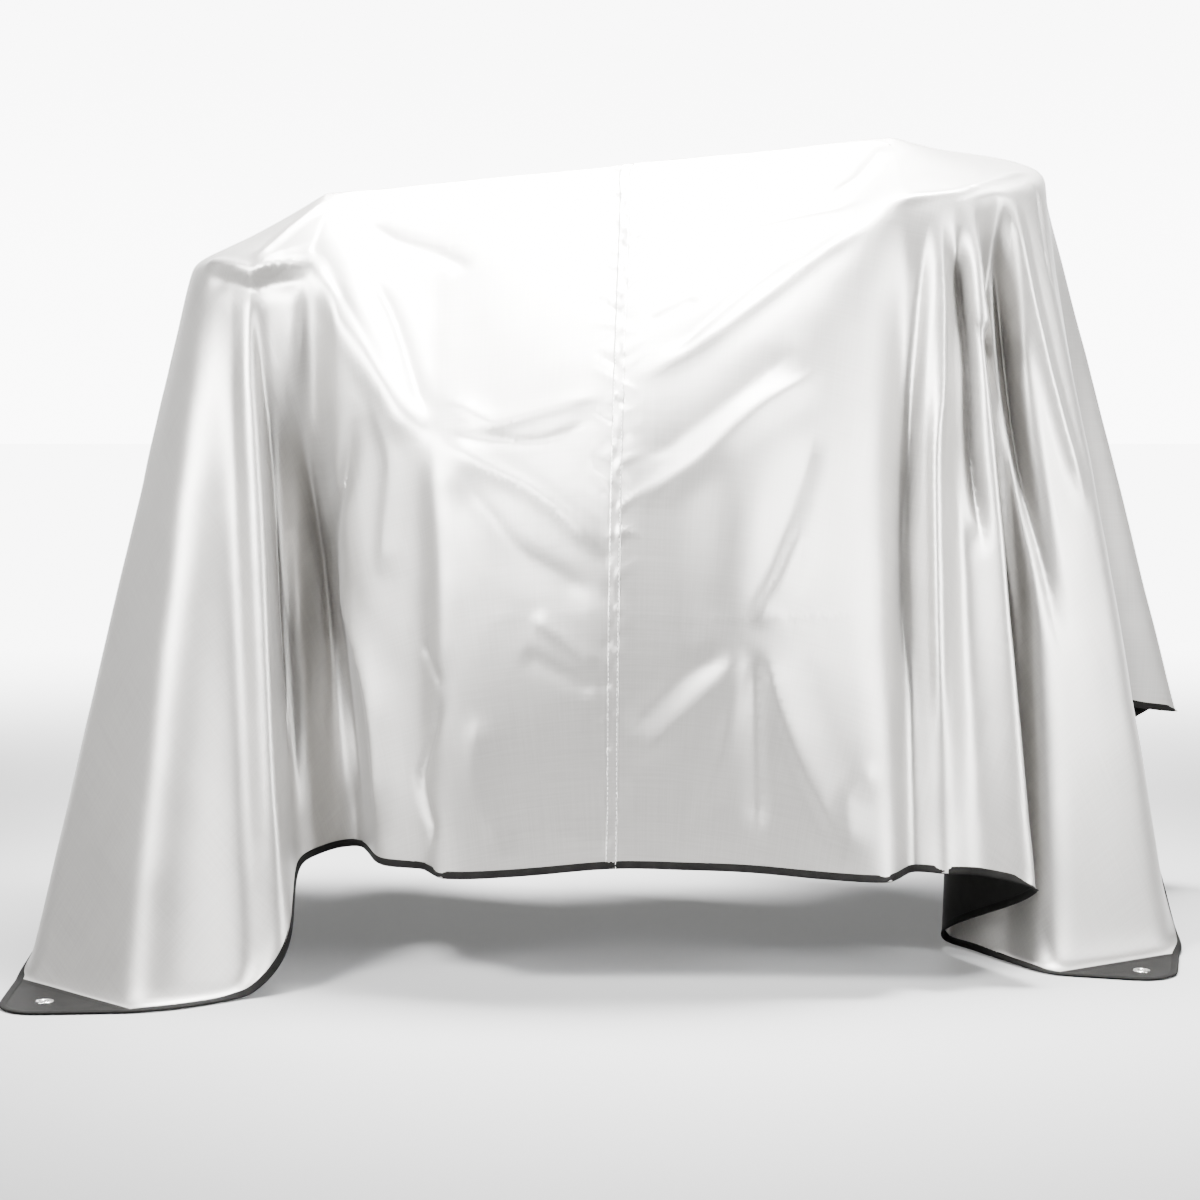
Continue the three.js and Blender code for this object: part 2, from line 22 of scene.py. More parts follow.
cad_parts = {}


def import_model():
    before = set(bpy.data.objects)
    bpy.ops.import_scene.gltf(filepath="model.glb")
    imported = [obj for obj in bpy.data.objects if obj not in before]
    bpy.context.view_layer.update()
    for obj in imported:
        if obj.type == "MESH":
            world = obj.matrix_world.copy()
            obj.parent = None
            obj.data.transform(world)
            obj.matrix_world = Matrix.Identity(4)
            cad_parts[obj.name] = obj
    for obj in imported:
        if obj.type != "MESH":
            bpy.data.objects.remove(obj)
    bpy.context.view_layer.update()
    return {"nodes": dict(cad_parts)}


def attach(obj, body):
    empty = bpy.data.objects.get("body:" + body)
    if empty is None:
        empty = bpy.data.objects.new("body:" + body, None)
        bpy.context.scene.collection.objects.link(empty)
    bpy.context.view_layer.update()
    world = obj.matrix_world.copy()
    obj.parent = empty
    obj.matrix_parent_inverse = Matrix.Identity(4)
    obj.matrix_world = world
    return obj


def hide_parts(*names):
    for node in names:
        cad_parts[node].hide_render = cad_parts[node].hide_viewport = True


LOG = logging.getLogger("drum_set_cover")
BODY = "root"
MM = 0.001

Colour = tuple[float, float, float, float]


class Slot(Enum):
    """The record's material slots."""

    CLOTH = "cloth"
    BINDING = "binding"
    PATCH = "patch"
    EYELET = "eyelet"


class Side(Enum):
    """The two sewn halves of the cover."""

    LEFT = "panel_left"
    RIGHT = "panel_right"


# Shader expressions


class Wire:
    """A shader socket that takes part in Python expressions."""

    def __init__(self, shader: "Nodes", socket: bpy.types.NodeSocket) -> None:
        """Wraps one output socket of a node tree."""
        self.shader = shader
        self.socket = socket

    def _math(self, operation: str, first: Any, second: Any) -> "Wire":
        """Adds one Math node on two values or wires and gives its result."""
        return self.shader.node("ShaderNodeMath", {"operation": operation}, {0: first, 1: second})

    def __add__(self, other: Any) -> "Wire":
        """Sum."""
        return self._math("ADD", self, other)

    def __radd__(self, other: Any) -> "Wire":
        """Sum with a number in front."""
        return self._math("ADD", other, self)

    def __sub__(self, other: Any) -> "Wire":
        """Difference."""
        return self._math("SUBTRACT", self, other)

    def __rsub__(self, other: Any) -> "Wire":
        """Difference from a number in front."""
        return self._math("SUBTRACT", other, self)

    def __mul__(self, other: Any) -> "Wire":
        """Product."""
        return self._math("MULTIPLY", self, other)

    def __rmul__(self, other: Any) -> "Wire":
        """Product with a number in front."""
        return self._math("MULTIPLY", other, self)


class Nodes:
    """A node tree that is written as expressions."""

    def __init__(self, tree: bpy.types.NodeTree) -> None:
        """Starts with the tree emptied."""
        self.tree = tree
        self.tree.nodes.clear()

    def _feed(self, socket: bpy.types.NodeSocket, value: Any) -> None:
        """Links a wire to a socket, or sets its value.

        Args:
            socket: The input socket.
            value: A wire, a number, a colour or a vector.
        """
        if isinstance(value, Wire):
            self.tree.links.new(value.socket, socket)
        else:
            socket.default_value = value

    def node(self, kind: str, settings: dict[str, Any] | None = None,
             inputs: dict[str | int, Any] | None = None, out: str | int = 0) -> Wire:
        """Adds any node.

        Args:
            kind: Blender's name of the node type.
            settings: The node's own settings, set first; stops gives a ramp's stops.
            inputs: Values or wires by the socket's name or place.
            out: Name or place of the output that is wanted.

        Returns:
            That output.
        """
        made = self.tree.nodes.new(kind)
        for key, value in (settings or {}).items():
            if key == "stops":
                self._set_stops(made.color_ramp, value)
            else:
                setattr(made, key, value)
        for key, value in (inputs or {}).items():
            self._feed(made.inputs[key], value)
        return Wire(self, made.outputs[out])

    def eased(self, value: Wire, start: float, stop: float, low: float = 0.0, high: float = 1.0) -> Wire:
        """A level that eases from low to high while a value goes from start to stop."""
        span = {"From Min": start, "From Max": stop, "To Min": low, "To Max": high}
        return self.node("ShaderNodeMapRange", {"interpolation_type": "SMOOTHSTEP"},
                         {"Value": value, **span})

    @staticmethod
    def _set_stops(ramp: bpy.types.ColorRamp, stops: Sequence[tuple[float, Colour]]) -> None:
        """Sets the stops of a colour ramp.

        Args:
            ramp: The ramp.
            stops: Place and colour of each stop.
        """
        while len(ramp.elements) < len(stops):
            ramp.elements.new(1.0)
        for element, (place, colour) in zip(ramp.elements, stops):
            element.position = place
            element.color = colour


class Shader(Nodes):
    """A node material with one surface shader."""

    def __init__(self, name: str) -> None:
        """Starts an empty material.

        Args:
            name: Name of the material.
        """
        self.material = bpy.data.materials.new(name)
        self.material.use_nodes = True
        super().__init__(self.material.node_tree)
        self.output = self.tree.nodes.new("ShaderNodeOutputMaterial")
        self.surface = self.tree.nodes.new("ShaderNodeBsdfPrincipled")
        self.tree.links.new(self.surface.outputs[0], self.output.inputs["Surface"])

    def flat_place(self, across: float, along: float) -> Wire:
        """The place on the flat cloth, scaled.

        Args:
            across: Scale along the first flat axis, a metre.
            along: Scale along the second flat axis, a metre.

        Returns:
            The scaled vector.
        """
        flat = self.node("ShaderNodeTexCoord", out="UV")
        return self.node("ShaderNodeVectorMath", {"operation": "MULTIPLY"},
                         {0: flat, 1: (across, along, 1.0)})

    def object_place(self) -> Wire:
        """The place in the row frame."""
        return self.node("ShaderNodeTexCoord", out="Object")

    def noise(self, place: Wire, scale: float, detail: float = 2.0) -> Wire:
        """A soft random value from 0 to 1, with so many blots a unit and so many finer layers."""
        return self.node("ShaderNodeTexNoise", inputs={"Vector": place, "Scale": scale, "Detail": detail})

    def ramp(self, factor: Wire, stops: Sequence[tuple[float, Colour]]) -> Wire:
        """A colour picked by a value, from stops with a place and a colour each."""
        return self.node("ShaderNodeValToRGB", {"stops": stops}, {"Fac": factor})

    def bump(self, height: Wire, strength: float, distance: float) -> Wire:
        """A normal tilted by a height, where distance is the depth of a height of 1 in metres."""
        return self.node("ShaderNodeBump",
                         inputs={"Strength": strength, "Distance": distance, "Height": height})

    def set(self, **values: Any) -> None:
        """Sets or links the surface's sockets.

        Args:
            values: Values by socket name, with _ for each space.
        """
        names = {socket.name.replace(" ", "_").lower(): socket for socket in self.surface.inputs}
        for key, value in values.items():
            self._feed(names[key], value)


def grey(level: float, warm: float = 0.0) -> Colour:
    """A grey that may lean warm: warm says what share less blue than red it has."""
    return (level, level * (1.0 - 0.4 * warm), level * (1.0 - warm), 1.0)


# Finishes


@dataclass(frozen=True)
class SilverCloth:
    """Silver-coated cloth in a plain weave with uneven threads."""

    light: float = 0.37
    dark: float = 0.30
    warm: float = 0.06
    metal: float = 0.88
    roughness: float = 0.48
    roughness_swing: float = 0.10
    thread: float = 1.3 * MM
    slub_across: float = 330.0
    slub_along: float = 7.0
    slub_share: float = 0.75
    blot_scale: float = 9.0
    weave_share: float = 0.35
    relief: float = 0.25 * MM

    def make(self) -> bpy.types.Material:
        """Builds the material."""
        shader = Shader("silver_cloth")
        upright = shader.noise(shader.flat_place(self.slub_across, self.slub_along), 1.0)
        level = shader.noise(shader.flat_place(self.slub_along, self.slub_across), 1.0)
        slubs = (upright + level) * 0.5
        blots = shader.noise(shader.flat_place(1.0, 1.0), self.blot_scale, 4.0)
        tone = slubs * self.slub_share + blots * (1.0 - self.slub_share)
        colour = shader.ramp(tone, [(0.3, grey(self.dark, self.warm)), (0.7, grey(self.light, self.warm))])
        turns = 2.0 * math.pi / self.thread
        flat = shader.flat_place(turns, turns)
        ways = [shader.node("ShaderNodeSeparateXYZ", inputs={0: flat}, out=k) for k in "XY"]
        warp, weft = (shader.node("ShaderNodeMath", {"operation": "SINE"}, {0: way}) for way in ways)
        weave = warp * weft * self.weave_share + slubs * (1.0 - self.weave_share)
        shader.set(
            base_color=colour,
            metallic=self.metal,
            roughness=self.roughness + (slubs - 0.5) * self.roughness_swing,
            normal=shader.bump(weave, 0.35, self.relief),
            sheen_weight=0.08,
            sheen_roughness=0.5,
        )
        return shader.material


@dataclass(frozen=True)
class BlackCloth:
    """Black woven cloth or tape."""

    name: str
    light: float
    dark: float
    roughness: float
    thread: float
    rib: float
    dust_scale: float = 60.0
    relief: float = 0.4 * MM

    def make(self) -> bpy.types.Material:
        """Builds the material."""
        shader = Shader(self.name)
        place = shader.object_place()
        dust = shader.noise(place, self.dust_scale, 4.0)
        threads = shader.noise(shader.flat_place(1.0 / self.thread, self.rib / self.thread), 1.0)
        tone = dust * 0.5 + threads * 0.5
        colour = shader.ramp(tone, [(0.35, grey(self.dark, 0.04)), (0.68, grey(self.light, 0.06))])
        shader.set(
            base_color=colour,
            roughness=self.roughness + (dust - 0.5) * 0.12,
            normal=shader.bump(threads, 0.5, self.relief),
            specular_ior_level=0.04,
        )
        return shader.material


@dataclass(frozen=True)
class PressedMetal:
    """Bright pressed metal with fine rubbed marks."""

    light: float = 0.74
    dark: float = 0.60
    roughness: float = 0.26
    rub_scale: float = 900.0
    spot_scale: float = 160.0

    def make(self) -> bpy.types.Material:
        """Builds the material."""
        shader = Shader("pressed_metal")
        place = shader.object_place()
        rubs = shader.noise(place, self.rub_scale, 3.0)
        spots = shader.noise(place, self.spot_scale, 3.0)
        colour = shader.ramp(spots, [(0.3, grey(self.dark, 0.05)), (0.7, grey(self.light, 0.03))])
        shader.set(
            base_color=colour,
            metallic=1.0,
            roughness=self.roughness + (rubs - 0.5) * 0.2,
            normal=shader.bump(rubs, 0.15, 0.1 * MM),
        )
        return shader.material


@dataclass(frozen=True)
class SewingThread:
    """Twisted sewing thread."""

    name: str
    light: float
    dark: float
    twist_scale: float = 1400.0

    def make(self) -> bpy.types.Material:
        """Builds the material."""
        shader = Shader(self.name)
        twist = shader.noise(shader.object_place(), self.twist_scale)
        colour = shader.ramp(twist, [(0.35, grey(self.dark, 0.03)), (0.65, grey(self.light, 0.03))])
        shader.set(
            base_color=colour,
            roughness=0.5 + (twist - 0.5) * 0.2,
            normal=shader.bump(twist, 0.4, 0.2 * MM),
            sheen_weight=0.15,
        )
        return shader.material


@dataclass(frozen=True)
class PaleFloor:
    """Plain pale studio floor that turns white far behind and stays pale far off on the other sides."""

    level: float = 0.26
    roughness: float = 0.7
    near: float = 0.6
    far: float = 5.0
    glow: float = 8.0
    ring: tuple[float, float] = (1.4, 3.8)
    ring_share: float = 0.14

    def make(self) -> bpy.types.Material:
        """Builds the material."""
        shader = Shader("pale_floor")
        place = shader.object_place()
        side, reach = (shader.node("ShaderNodeSeparateXYZ", inputs={0: place}, out=k) for k in "XY")
        behind = shader.eased(reach, self.near, self.far)
        inner, outer = (radius * radius for radius in self.ring)
        around = shader.eased(side * side + reach * reach, inner, outer, 0.0, self.ring_share)
        glow = shader.ramp(behind + around, [(0.0, grey(0.0)), (1.0, grey(1.0))])
        shader.set(base_color=grey(self.level), roughness=self.roughness, specular_ior_level=0.2,
                   emission_color=glow, emission_strength=self.glow)
        return shader.material


# Sheet geometry


def unit(rows: np.ndarray) -> np.ndarray:
    """Rows scaled to a length of 1."""
    return rows / np.maximum(np.linalg.norm(rows, axis=-1, keepdims=True), 1e-12)


def face_normals(points: np.ndarray, faces: np.ndarray) -> np.ndarray:
    """Normals of the triangles, as long as twice their areas."""
    first, second, third = (points[faces[:, k], :3] for k in range(3))
    return np.cross(second - first, third - first)


def point_normals(points: np.ndarray, faces: np.ndarray) -> np.ndarray:
    """Area-weighted normals of the points."""
    normals = np.zeros((len(points), 3))
    flat = face_normals(points, faces)
    for k in range(3):
        np.add.at(normals, faces[:, k], flat)
    return unit(normals)


def eased(share: np.ndarray) -> np.ndarray:
    """Shares cut to between 0 and 1, with a soft start and a soft end."""
    share = np.clip(share, 0.0, 1.0)
    return share * share * (3.0 - 2.0 * share)


def walked_along(line: np.ndarray) -> np.ndarray:
    """How far along a line each of its corners is."""
    return np.concatenate([[0.0], np.cumsum(np.linalg.norm(np.diff(line, axis=0), axis=1))])


def lone_edges(faces: np.ndarray, count: int) -> np.ndarray:
    """Edges that only one triangle has, each in that triangle's direction.

    Args:
        faces: The triangles.
        count: Number of points.

    Returns:
        End points of each edge.
    """
    directed = faces[:, [[0, 1], [1, 2], [2, 0]]].reshape(-1, 2)
    keys = directed[:, 0] * count + directed[:, 1]
    return directed[~np.isin(keys, directed[:, 1] * count + directed[:, 0])]


def nearest_gap(points: np.ndarray, others: np.ndarray, parts: int = 60) -> np.ndarray:
    """How far each point is from the nearest of some others, worked out in parts to save memory."""
    return np.concatenate([np.linalg.norm(part[:, None] - others[None], axis=2).min(axis=1)
                           for part in np.array_split(points, parts)])


def grid_faces(rows: int, columns: int, round_rows: bool = False,
               round_columns: bool = False) -> list[list[int]]:
    """Quads between the neighbouring points of a grid.

    Args:
        rows: Number of rows of points.
        columns: Number of points in a row.
        round_rows: Whether the last row joins the first.
        round_columns: Whether a row's last point joins its first.

    Returns:
        The faces.
    """
    faces = []
    for row in range(rows if round_rows else rows - 1):
        here, there = row * columns, (row + 1) % rows * columns
        for k in range(columns if round_columns else columns - 1):
            after = (k + 1) % columns
            faces.append([here + k, here + after, there + after, there + k])
    return faces


def mirrored(half: Sequence[tuple[float, ...]], middle: tuple[float, ...]) -> list[tuple[float, ...]]:
    """A section with two like sides: the points of one side, place across first, and the middle."""
    return [*((-across, *rest) for across, *rest in half), middle, *reversed(half)]


def segment_distance(points: np.ndarray, line: np.ndarray) -> tuple[np.ndarray, np.ndarray]:
    """How far points are from a line of straight pieces.

    Args:
        points: Points, a row each.
        line: Corners of the line, a row each.

    Returns:
        Distance of each point, and where along the line it is nearest, as a length.
    """
    best = np.full(len(points), np.inf)
    where = np.zeros(len(points))
    walked = 0.0
    for start, end in zip(line[:-1], line[1:]):
        step = end - start
        length = float(np.linalg.norm(step))
        share = np.clip((points - start) @ step / max(length * length, 1e-12), 0.0, 1.0)
        gap = np.linalg.norm(points - start - share[:, None] * step, axis=1)
        nearer = gap < best
        best[nearer] = gap[nearer]
        where[nearer] = walked + share[nearer] * length
        walked += length
    return best, where


@dataclass
class Cloth:
    """An open sheet of triangles. A row of points holds its place and its place on the flat cloth."""

    points: np.ndarray
    faces: np.ndarray
    side: np.ndarray

    def edges(self) -> tuple[np.ndarray, np.ndarray, np.ndarray]:
        """Edges of the sheet.

        Returns:
            End points of each edge, the three edges of each face, and the faces on each edge.
        """
        ends = np.sort(self.faces[:, [[0, 1], [1, 2], [2, 0]]].reshape(-1, 2), axis=1)
        lines, back, count = np.unique(ends, axis=0, return_inverse=True, return_counts=True)
        return lines, back.reshape(-1, 3), count

    def normals(self) -> np.ndarray:
        """Normals of the points."""
        return point_normals(self.points, self.faces)

    def hem(self) -> np.ndarray:
        """Points of the open edge, in order, with the cloth on the left."""
        lone = lone_edges(self.faces, len(self.points))
        after = {int(a): int(b) for a, b in lone}
        start = int(lone[0, 0])
        order = [start]
        while after[order[-1]] != start:
            order.append(after[order[-1]])
        return np.array(order)

    def hem_corners(self, least: float) -> np.ndarray:
        """Points where the hem turns sharply, which stay where they are.

        Args:
            least: The least turn, in degrees.

        Returns:
            Their numbers.
        """
        order = self.hem()
        place = self.points[order, :3]
        before = unit(place - np.roll(place, 1, axis=0))
        after = unit(np.roll(place, -1, axis=0) - place)
        turn = np.degrees(np.arccos(np.clip((before * after).sum(axis=1), -1.0, 1.0)))
        return order[turn > least]

    def smoothed(self, fixed: np.ndarray) -> "Cloth":
        """The sheet with each triangle cut in four and rounded, by Loop's rule.

        Args:
            fixed: Numbers of the points that stay.

        Returns:
            The finer sheet.
        """
        lines, sides, count = self.edges()
        total = len(self.points)
        opposite = self.faces[:, [2, 0, 1]]
        across = np.zeros((len(lines), self.points.shape[1]))
        np.add.at(across, sides.ravel(), self.points[opposite.ravel()])
        ends = self.points[lines[:, 0]] + self.points[lines[:, 1]]
        inside = (count == 2)[:, None]
        middles = np.where(inside, 0.375 * ends + 0.125 * across, 0.5 * ends)
        moved = self._relaxed(lines, count)
        moved[fixed] = self.points[fixed]
        a, b, c = self.faces.T
        ab, bc, ca = (sides + total).T
        faces = np.concatenate([np.stack(f, axis=1) for f in
                                ((a, ab, ca), (ab, b, bc), (ca, bc, c), (ab, bc, ca))])
        return Cloth(np.concatenate([moved, middles]), faces, np.tile(self.side, 4))

    def _relaxed(self, lines: np.ndarray, count: np.ndarray) -> np.ndarray:
        """Places of the old points after one rounding.

        Args:
            lines: End points of each edge.
            count: Faces on each edge.

        Returns:
            The new places.
        """
        total = len(self.points)
        around = np.zeros_like(self.points)
        degree = np.zeros(total)
        for here, there in ((0, 1), (1, 0)):
            np.add.at(around, lines[:, here], self.points[lines[:, there]])
            np.add.at(degree, lines[:, here], 1.0)
        spread = 0.375 + 0.25 * np.cos(2.0 * np.pi / np.maximum(degree, 1.0))
        share = (0.625 - spread * spread) / np.maximum(degree, 1.0)
        moved = (1.0 - degree * share)[:, None] * self.points + share[:, None] * around
        rim = lines[count == 1]
        beside = np.zeros_like(self.points)
        for here, there in ((0, 1), (1, 0)):
            np.add.at(beside, rim[:, here], self.points[rim[:, there]])
        on_rim = np.unique(rim)
        moved[on_rim] = 0.75 * self.points[on_rim] + 0.125 * beside[on_rim]
        return moved

    def refined(self, limit: np.ndarray) -> "Cloth":
        """The sheet with its long edges cut in two, on the curve that the normals give.

        Args:
            limit: The longest edge that is left whole, for each point.

        Returns:
            The finer sheet.
        """
        lines, sides, _ = self.edges()
        first, second = self.points[lines[:, 0]], self.points[lines[:, 1]]
        length = np.linalg.norm(first[:, :3] - second[:, :3], axis=1)
        cut = length > np.minimum(limit[lines[:, 0]], limit[lines[:, 1]])
        normals = self.normals()
        middle = 0.5 * (first + second)
        for near, number in ((first, lines[:, 0]), (second, lines[:, 1])):
            normal = normals[number]
            lift = ((near[:, :3] - middle[:, :3]) * normal).sum(axis=1)
            middle[:, :3] += 0.25 * lift[:, None] * normal
        number = np.full(len(lines), -1)
        number[cut] = len(self.points) + np.arange(int(cut.sum()))
        faces, parent = self._split_faces(number[sides])
        return Cloth(np.concatenate([self.points, middle[cut]]), faces, self.side[parent])

    def _split_faces(self, middles: np.ndarray) -> tuple[np.ndarray, np.ndarray]:
        """Triangles after some of their edges are cut.

        Args:
            middles: The new point on each of a face's three edges, or -1.

        Returns:
            The new triangles, and the old triangle that each came from.
        """
        made, parent = [], []
        amount = (middles >= 0).sum(axis=1)
        whole = np.flatnonzero(amount == 0)
        made.append(self.faces[whole])
        parent.append(whole)
        for turn in range(3):
            order = [turn, (turn + 1) % 3, (turn + 2) % 3]
            a, b, c = self.faces[:, order].T
            ab, bc, ca = middles[:, order].T
            one = np.flatnonzero((amount == 1) & (ab >= 0))
            two = np.flatnonzero((amount == 2) & (ca < 0))
            for rows, corners in ((one, ((a, ab, c), (ab, b, c))),
                                  (two, ((ab, b, bc), (a, ab, bc), (a, bc, c)))):
                for corner in corners:
                    made.append(np.stack([x[rows] for x in corner], axis=1))
                    parent.append(rows)
        a, b, c = self.faces.T
        ab, bc, ca = middles.T
        full = np.flatnonzero(amount == 3)
        for corner in ((a, ab, ca), (ab, b, bc), (ca, bc, c), (ab, bc, ca)):
            made.append(np.stack([x[full] for x in corner], axis=1))
            parent.append(full)
        return np.concatenate(made), np.concatenate(parent)


class PackedSolids:
    """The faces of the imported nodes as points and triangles."""

    MERGE = 0.02 * MM
    EDGE_SLACK = 0.05 * MM
    RIM_LEAN = 0.35
    INSIDE = np.array([0.0, -0.1, -0.6])

    def __init__(self, nodes: dict[str, bpy.types.Object]) -> None:
        """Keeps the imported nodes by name."""
        self.nodes = nodes

    def welded(self, name: str) -> tuple[np.ndarray, np.ndarray]:
        """A node's points and triangles, with its doubled points merged.

        Args:
            name: Name of the node.

        Returns:
            Points and triangles.
        """
        mesh = bmesh.new()
        mesh.from_mesh(self.nodes[name].data)
        bmesh.ops.remove_doubles(mesh, verts=mesh.verts, dist=self.MERGE)
        bmesh.ops.triangulate(mesh, faces=mesh.faces)
        mesh.verts.index_update()
        points = np.array([v.co[:] for v in mesh.verts])
        faces = np.array([[v.index for v in f.verts] for f in mesh.faces])
        mesh.free()
        return points, faces

    def outer_face(self, name: str, thick: float) -> tuple[np.ndarray, np.ndarray]:
        """The outer face of a thin panel.

        Args:
            name: Name of the node.
            thick: The panel's thickness.

        Returns:
            Points and triangles of that face alone.
        """
        points, faces = self.welded(name)
        normals = point_normals(points, faces)
        rim = np.zeros(len(faces), bool)
        for k in range(3):
            here, there = faces[:, k], faces[:, (k + 1) % 3]
            step = points[there] - points[here]
            length = np.linalg.norm(step, axis=1)
            lean = np.maximum(*(np.abs((unit(step) * normals[end]).sum(axis=1)) for end in (here, there)))
            rim |= (np.abs(length - thick) < self.EDGE_SLACK) & (lean > self.RIM_LEAN)
        kept = faces[~rim]
        label = self._islands(len(points), kept)
        facing = face_normals(points, kept)
        middle = points[kept].mean(axis=1) - self.INSIDE
        outward = (facing * unit(middle)).sum(axis=1)
        names = np.unique(label[kept[:, 0]])
        best = max(names, key=lambda n: outward[label[kept[:, 0]] == n].sum())
        kept = kept[label[kept[:, 0]] == best]
        used, faces = np.unique(kept, return_inverse=True)
        return points[used], faces.reshape(-1, 3)

    @staticmethod
    def _islands(count: int, faces: np.ndarray) -> np.ndarray:
        """A number for each point, the same for points that faces join.

        Args:
            count: Number of points.
            faces: Triangles.

        Returns:
            The numbers.
        """
        label = np.arange(count)
        while True:
            low = label[faces].min(axis=1)
            fresh = label.copy()
            for k in range(3):
                np.minimum.at(fresh, faces[:, k], low)
            fresh = fresh[fresh]
            if np.array_equal(fresh, label):
                return label
            label = fresh


def new_object(name: str, points: np.ndarray, faces: Sequence[Sequence[int]],
               materials: Sequence[bpy.types.Material], flat: np.ndarray | None = None,
               finish: np.ndarray | None = None) -> bpy.types.Object:
    """Makes a smooth mesh object at the origin.

    Args:
        name: Name of the object.
        points: Points, a row each.
        faces: Faces as point numbers.
        materials: Its materials.
        flat: Place of each point on the flat cloth.
        finish: Which material each face has.

    Returns:
        The object.
    """
    mesh = bpy.data.meshes.new(name)
    mesh.from_pydata(points.tolist(), [], [list(f) for f in faces])
    for material in materials:
        mesh.materials.append(material)
    mesh.polygons.foreach_set("use_smooth", [True] * len(mesh.polygons))
    if finish is not None:
        mesh.polygons.foreach_set("material_index", finish.astype(np.int32))
    if flat is not None:
        corner = np.empty(len(mesh.loops), np.int32)
        mesh.loops.foreach_get("vertex_index", corner)
        layer = mesh.uv_layers.new(name="flat_cloth")
        layer.data.foreach_set("uv", flat[corner].astype(np.float32).ravel())
    mesh.update()
    made = bpy.data.objects.new(name, mesh)
    bpy.context.scene.collection.objects.link(made)
    return made


def only(made: bpy.types.Object) -> None:
    """Selects one object alone and makes it active."""
    bpy.ops.object.select_all(action="DESELECT")
    made.select_set(True)
    bpy.context.view_layer.objects.active = made


def face_out(made: bpy.types.Object) -> None:
    """Turns the faces of a closed piece outward."""
    only(made)
    bpy.ops.object.mode_set(mode="EDIT")
    bpy.ops.mesh.select_all(action="SELECT")
    bpy.ops.mesh.normals_make_consistent(inside=False)
    bpy.ops.object.mode_set(mode="OBJECT")


# The cloth


@dataclass(frozen=True)
class Crease:
    """A ridge, or a trough where depth is below zero, pressed into the front of the cloth.

    Its line is given as places across and up, seen square from the front. Seen along the line, its slopes
    reach as far as left and right say. A deep one goes straight back, others along the cloth's normals.
    """

    name: str
    depth: float
    left: float
    right: float
    line: tuple[tuple[float, float], ...]
    straight_back: bool = False
    ends: tuple[float, float] = (0.2, 0.2)
    steps: int = 4
    rounding: float = 0.22
    fine: float = 0.0

    def on_cloth(self, cloth: BVHTree) -> np.ndarray:
        """The line laid on the front of the cloth.

        Args:
            cloth: The sheet.

        Returns:
            Its points, a row each.
        """
        corner = np.array(self.line)
        corner = np.concatenate([2 * corner[:1] - corner[1:2], corner, 2 * corner[-1:] - corner[-2:-1]])
        places = []
        for k in range(1, len(corner) - 2):
            before, here, there, after = corner[k - 1:k + 3]
            for share in np.linspace(0.0, 1.0, self.steps, endpoint=False):
                bend = (2 * before - 5 * here + 4 * there - after) * share ** 2
                turn = (3 * (here - there) + after - before) * share ** 3
                places.append(here + 0.5 * ((there - before) * share + bend + turn))
        places.append(corner[-2])
        hits = [cloth.ray_cast(Vector((x, -2.0, z)), Vector((0.0, 1.0, 0.0)))[0] for x, z in places]
        return np.array([hit[:] for hit in hits if hit is not None])

    def lift(self, points: np.ndarray, normals: np.ndarray, line: np.ndarray) -> np.ndarray:
        """How each point of the cloth moves, in metres.

        Args:
            points: Points of the cloth.
            normals: Their normals.
            line: The line on the cloth.

        Returns:
            The move, a row for each point.
        """
        gap, where = segment_distance(points, line)
        walked = walked_along(line)
        piece = np.clip(np.searchsorted(walked, where, side="right") - 1, 0, len(line) - 2)
        turn = np.cross(line[piece + 1] - line[piece], points - line[piece])
        reach = np.where((turn * normals).sum(axis=1) > 0.0, self.left, self.right)
        share = where / walked[-1]
        fade = eased(np.minimum(share / self.ends[0], (1.0 - share) / self.ends[1]))
        slope = np.hypot(gap / reach, self.rounding) - self.rounding
        lift = self.depth * fade * np.clip(1.0 - slope, 0.0, 1.0) ** 2
        return lift[:, None] * (FORWARD if self.straight_back else normals)


@dataclass(frozen=True)
class SlackStrip:
    """A strip between two folds that hangs slack, so that its narrow pleats are drawn smooth."""

    line: tuple[tuple[float, float, float], ...]
    reach: float
    rounds: int

    def ease(self, sheet: Cloth) -> None:
        """Draws the strip smooth, less and less towards its sides.

        Args:
            sheet: The sheet.
        """
        gap = segment_distance(sheet.points[:, :3], np.array(self.line))[0]
        share = 0.5 * eased(1.5 * (1.0 - gap / self.reach))[:, None]
        ends, _, _ = sheet.edges()
        ends = np.concatenate([ends, ends[:, ::-1]])
        total = len(sheet.points)
        degree = np.bincount(ends[:, 0], minlength=total)[:, None]
        for _ in range(self.rounds):
            place = sheet.points[:, :3]
            around = [np.bincount(ends[:, 0], place[ends[:, 1], k], total) for k in range(3)]
            sheet.points[:, :3] += share * (np.stack(around, axis=1) / degree - place)


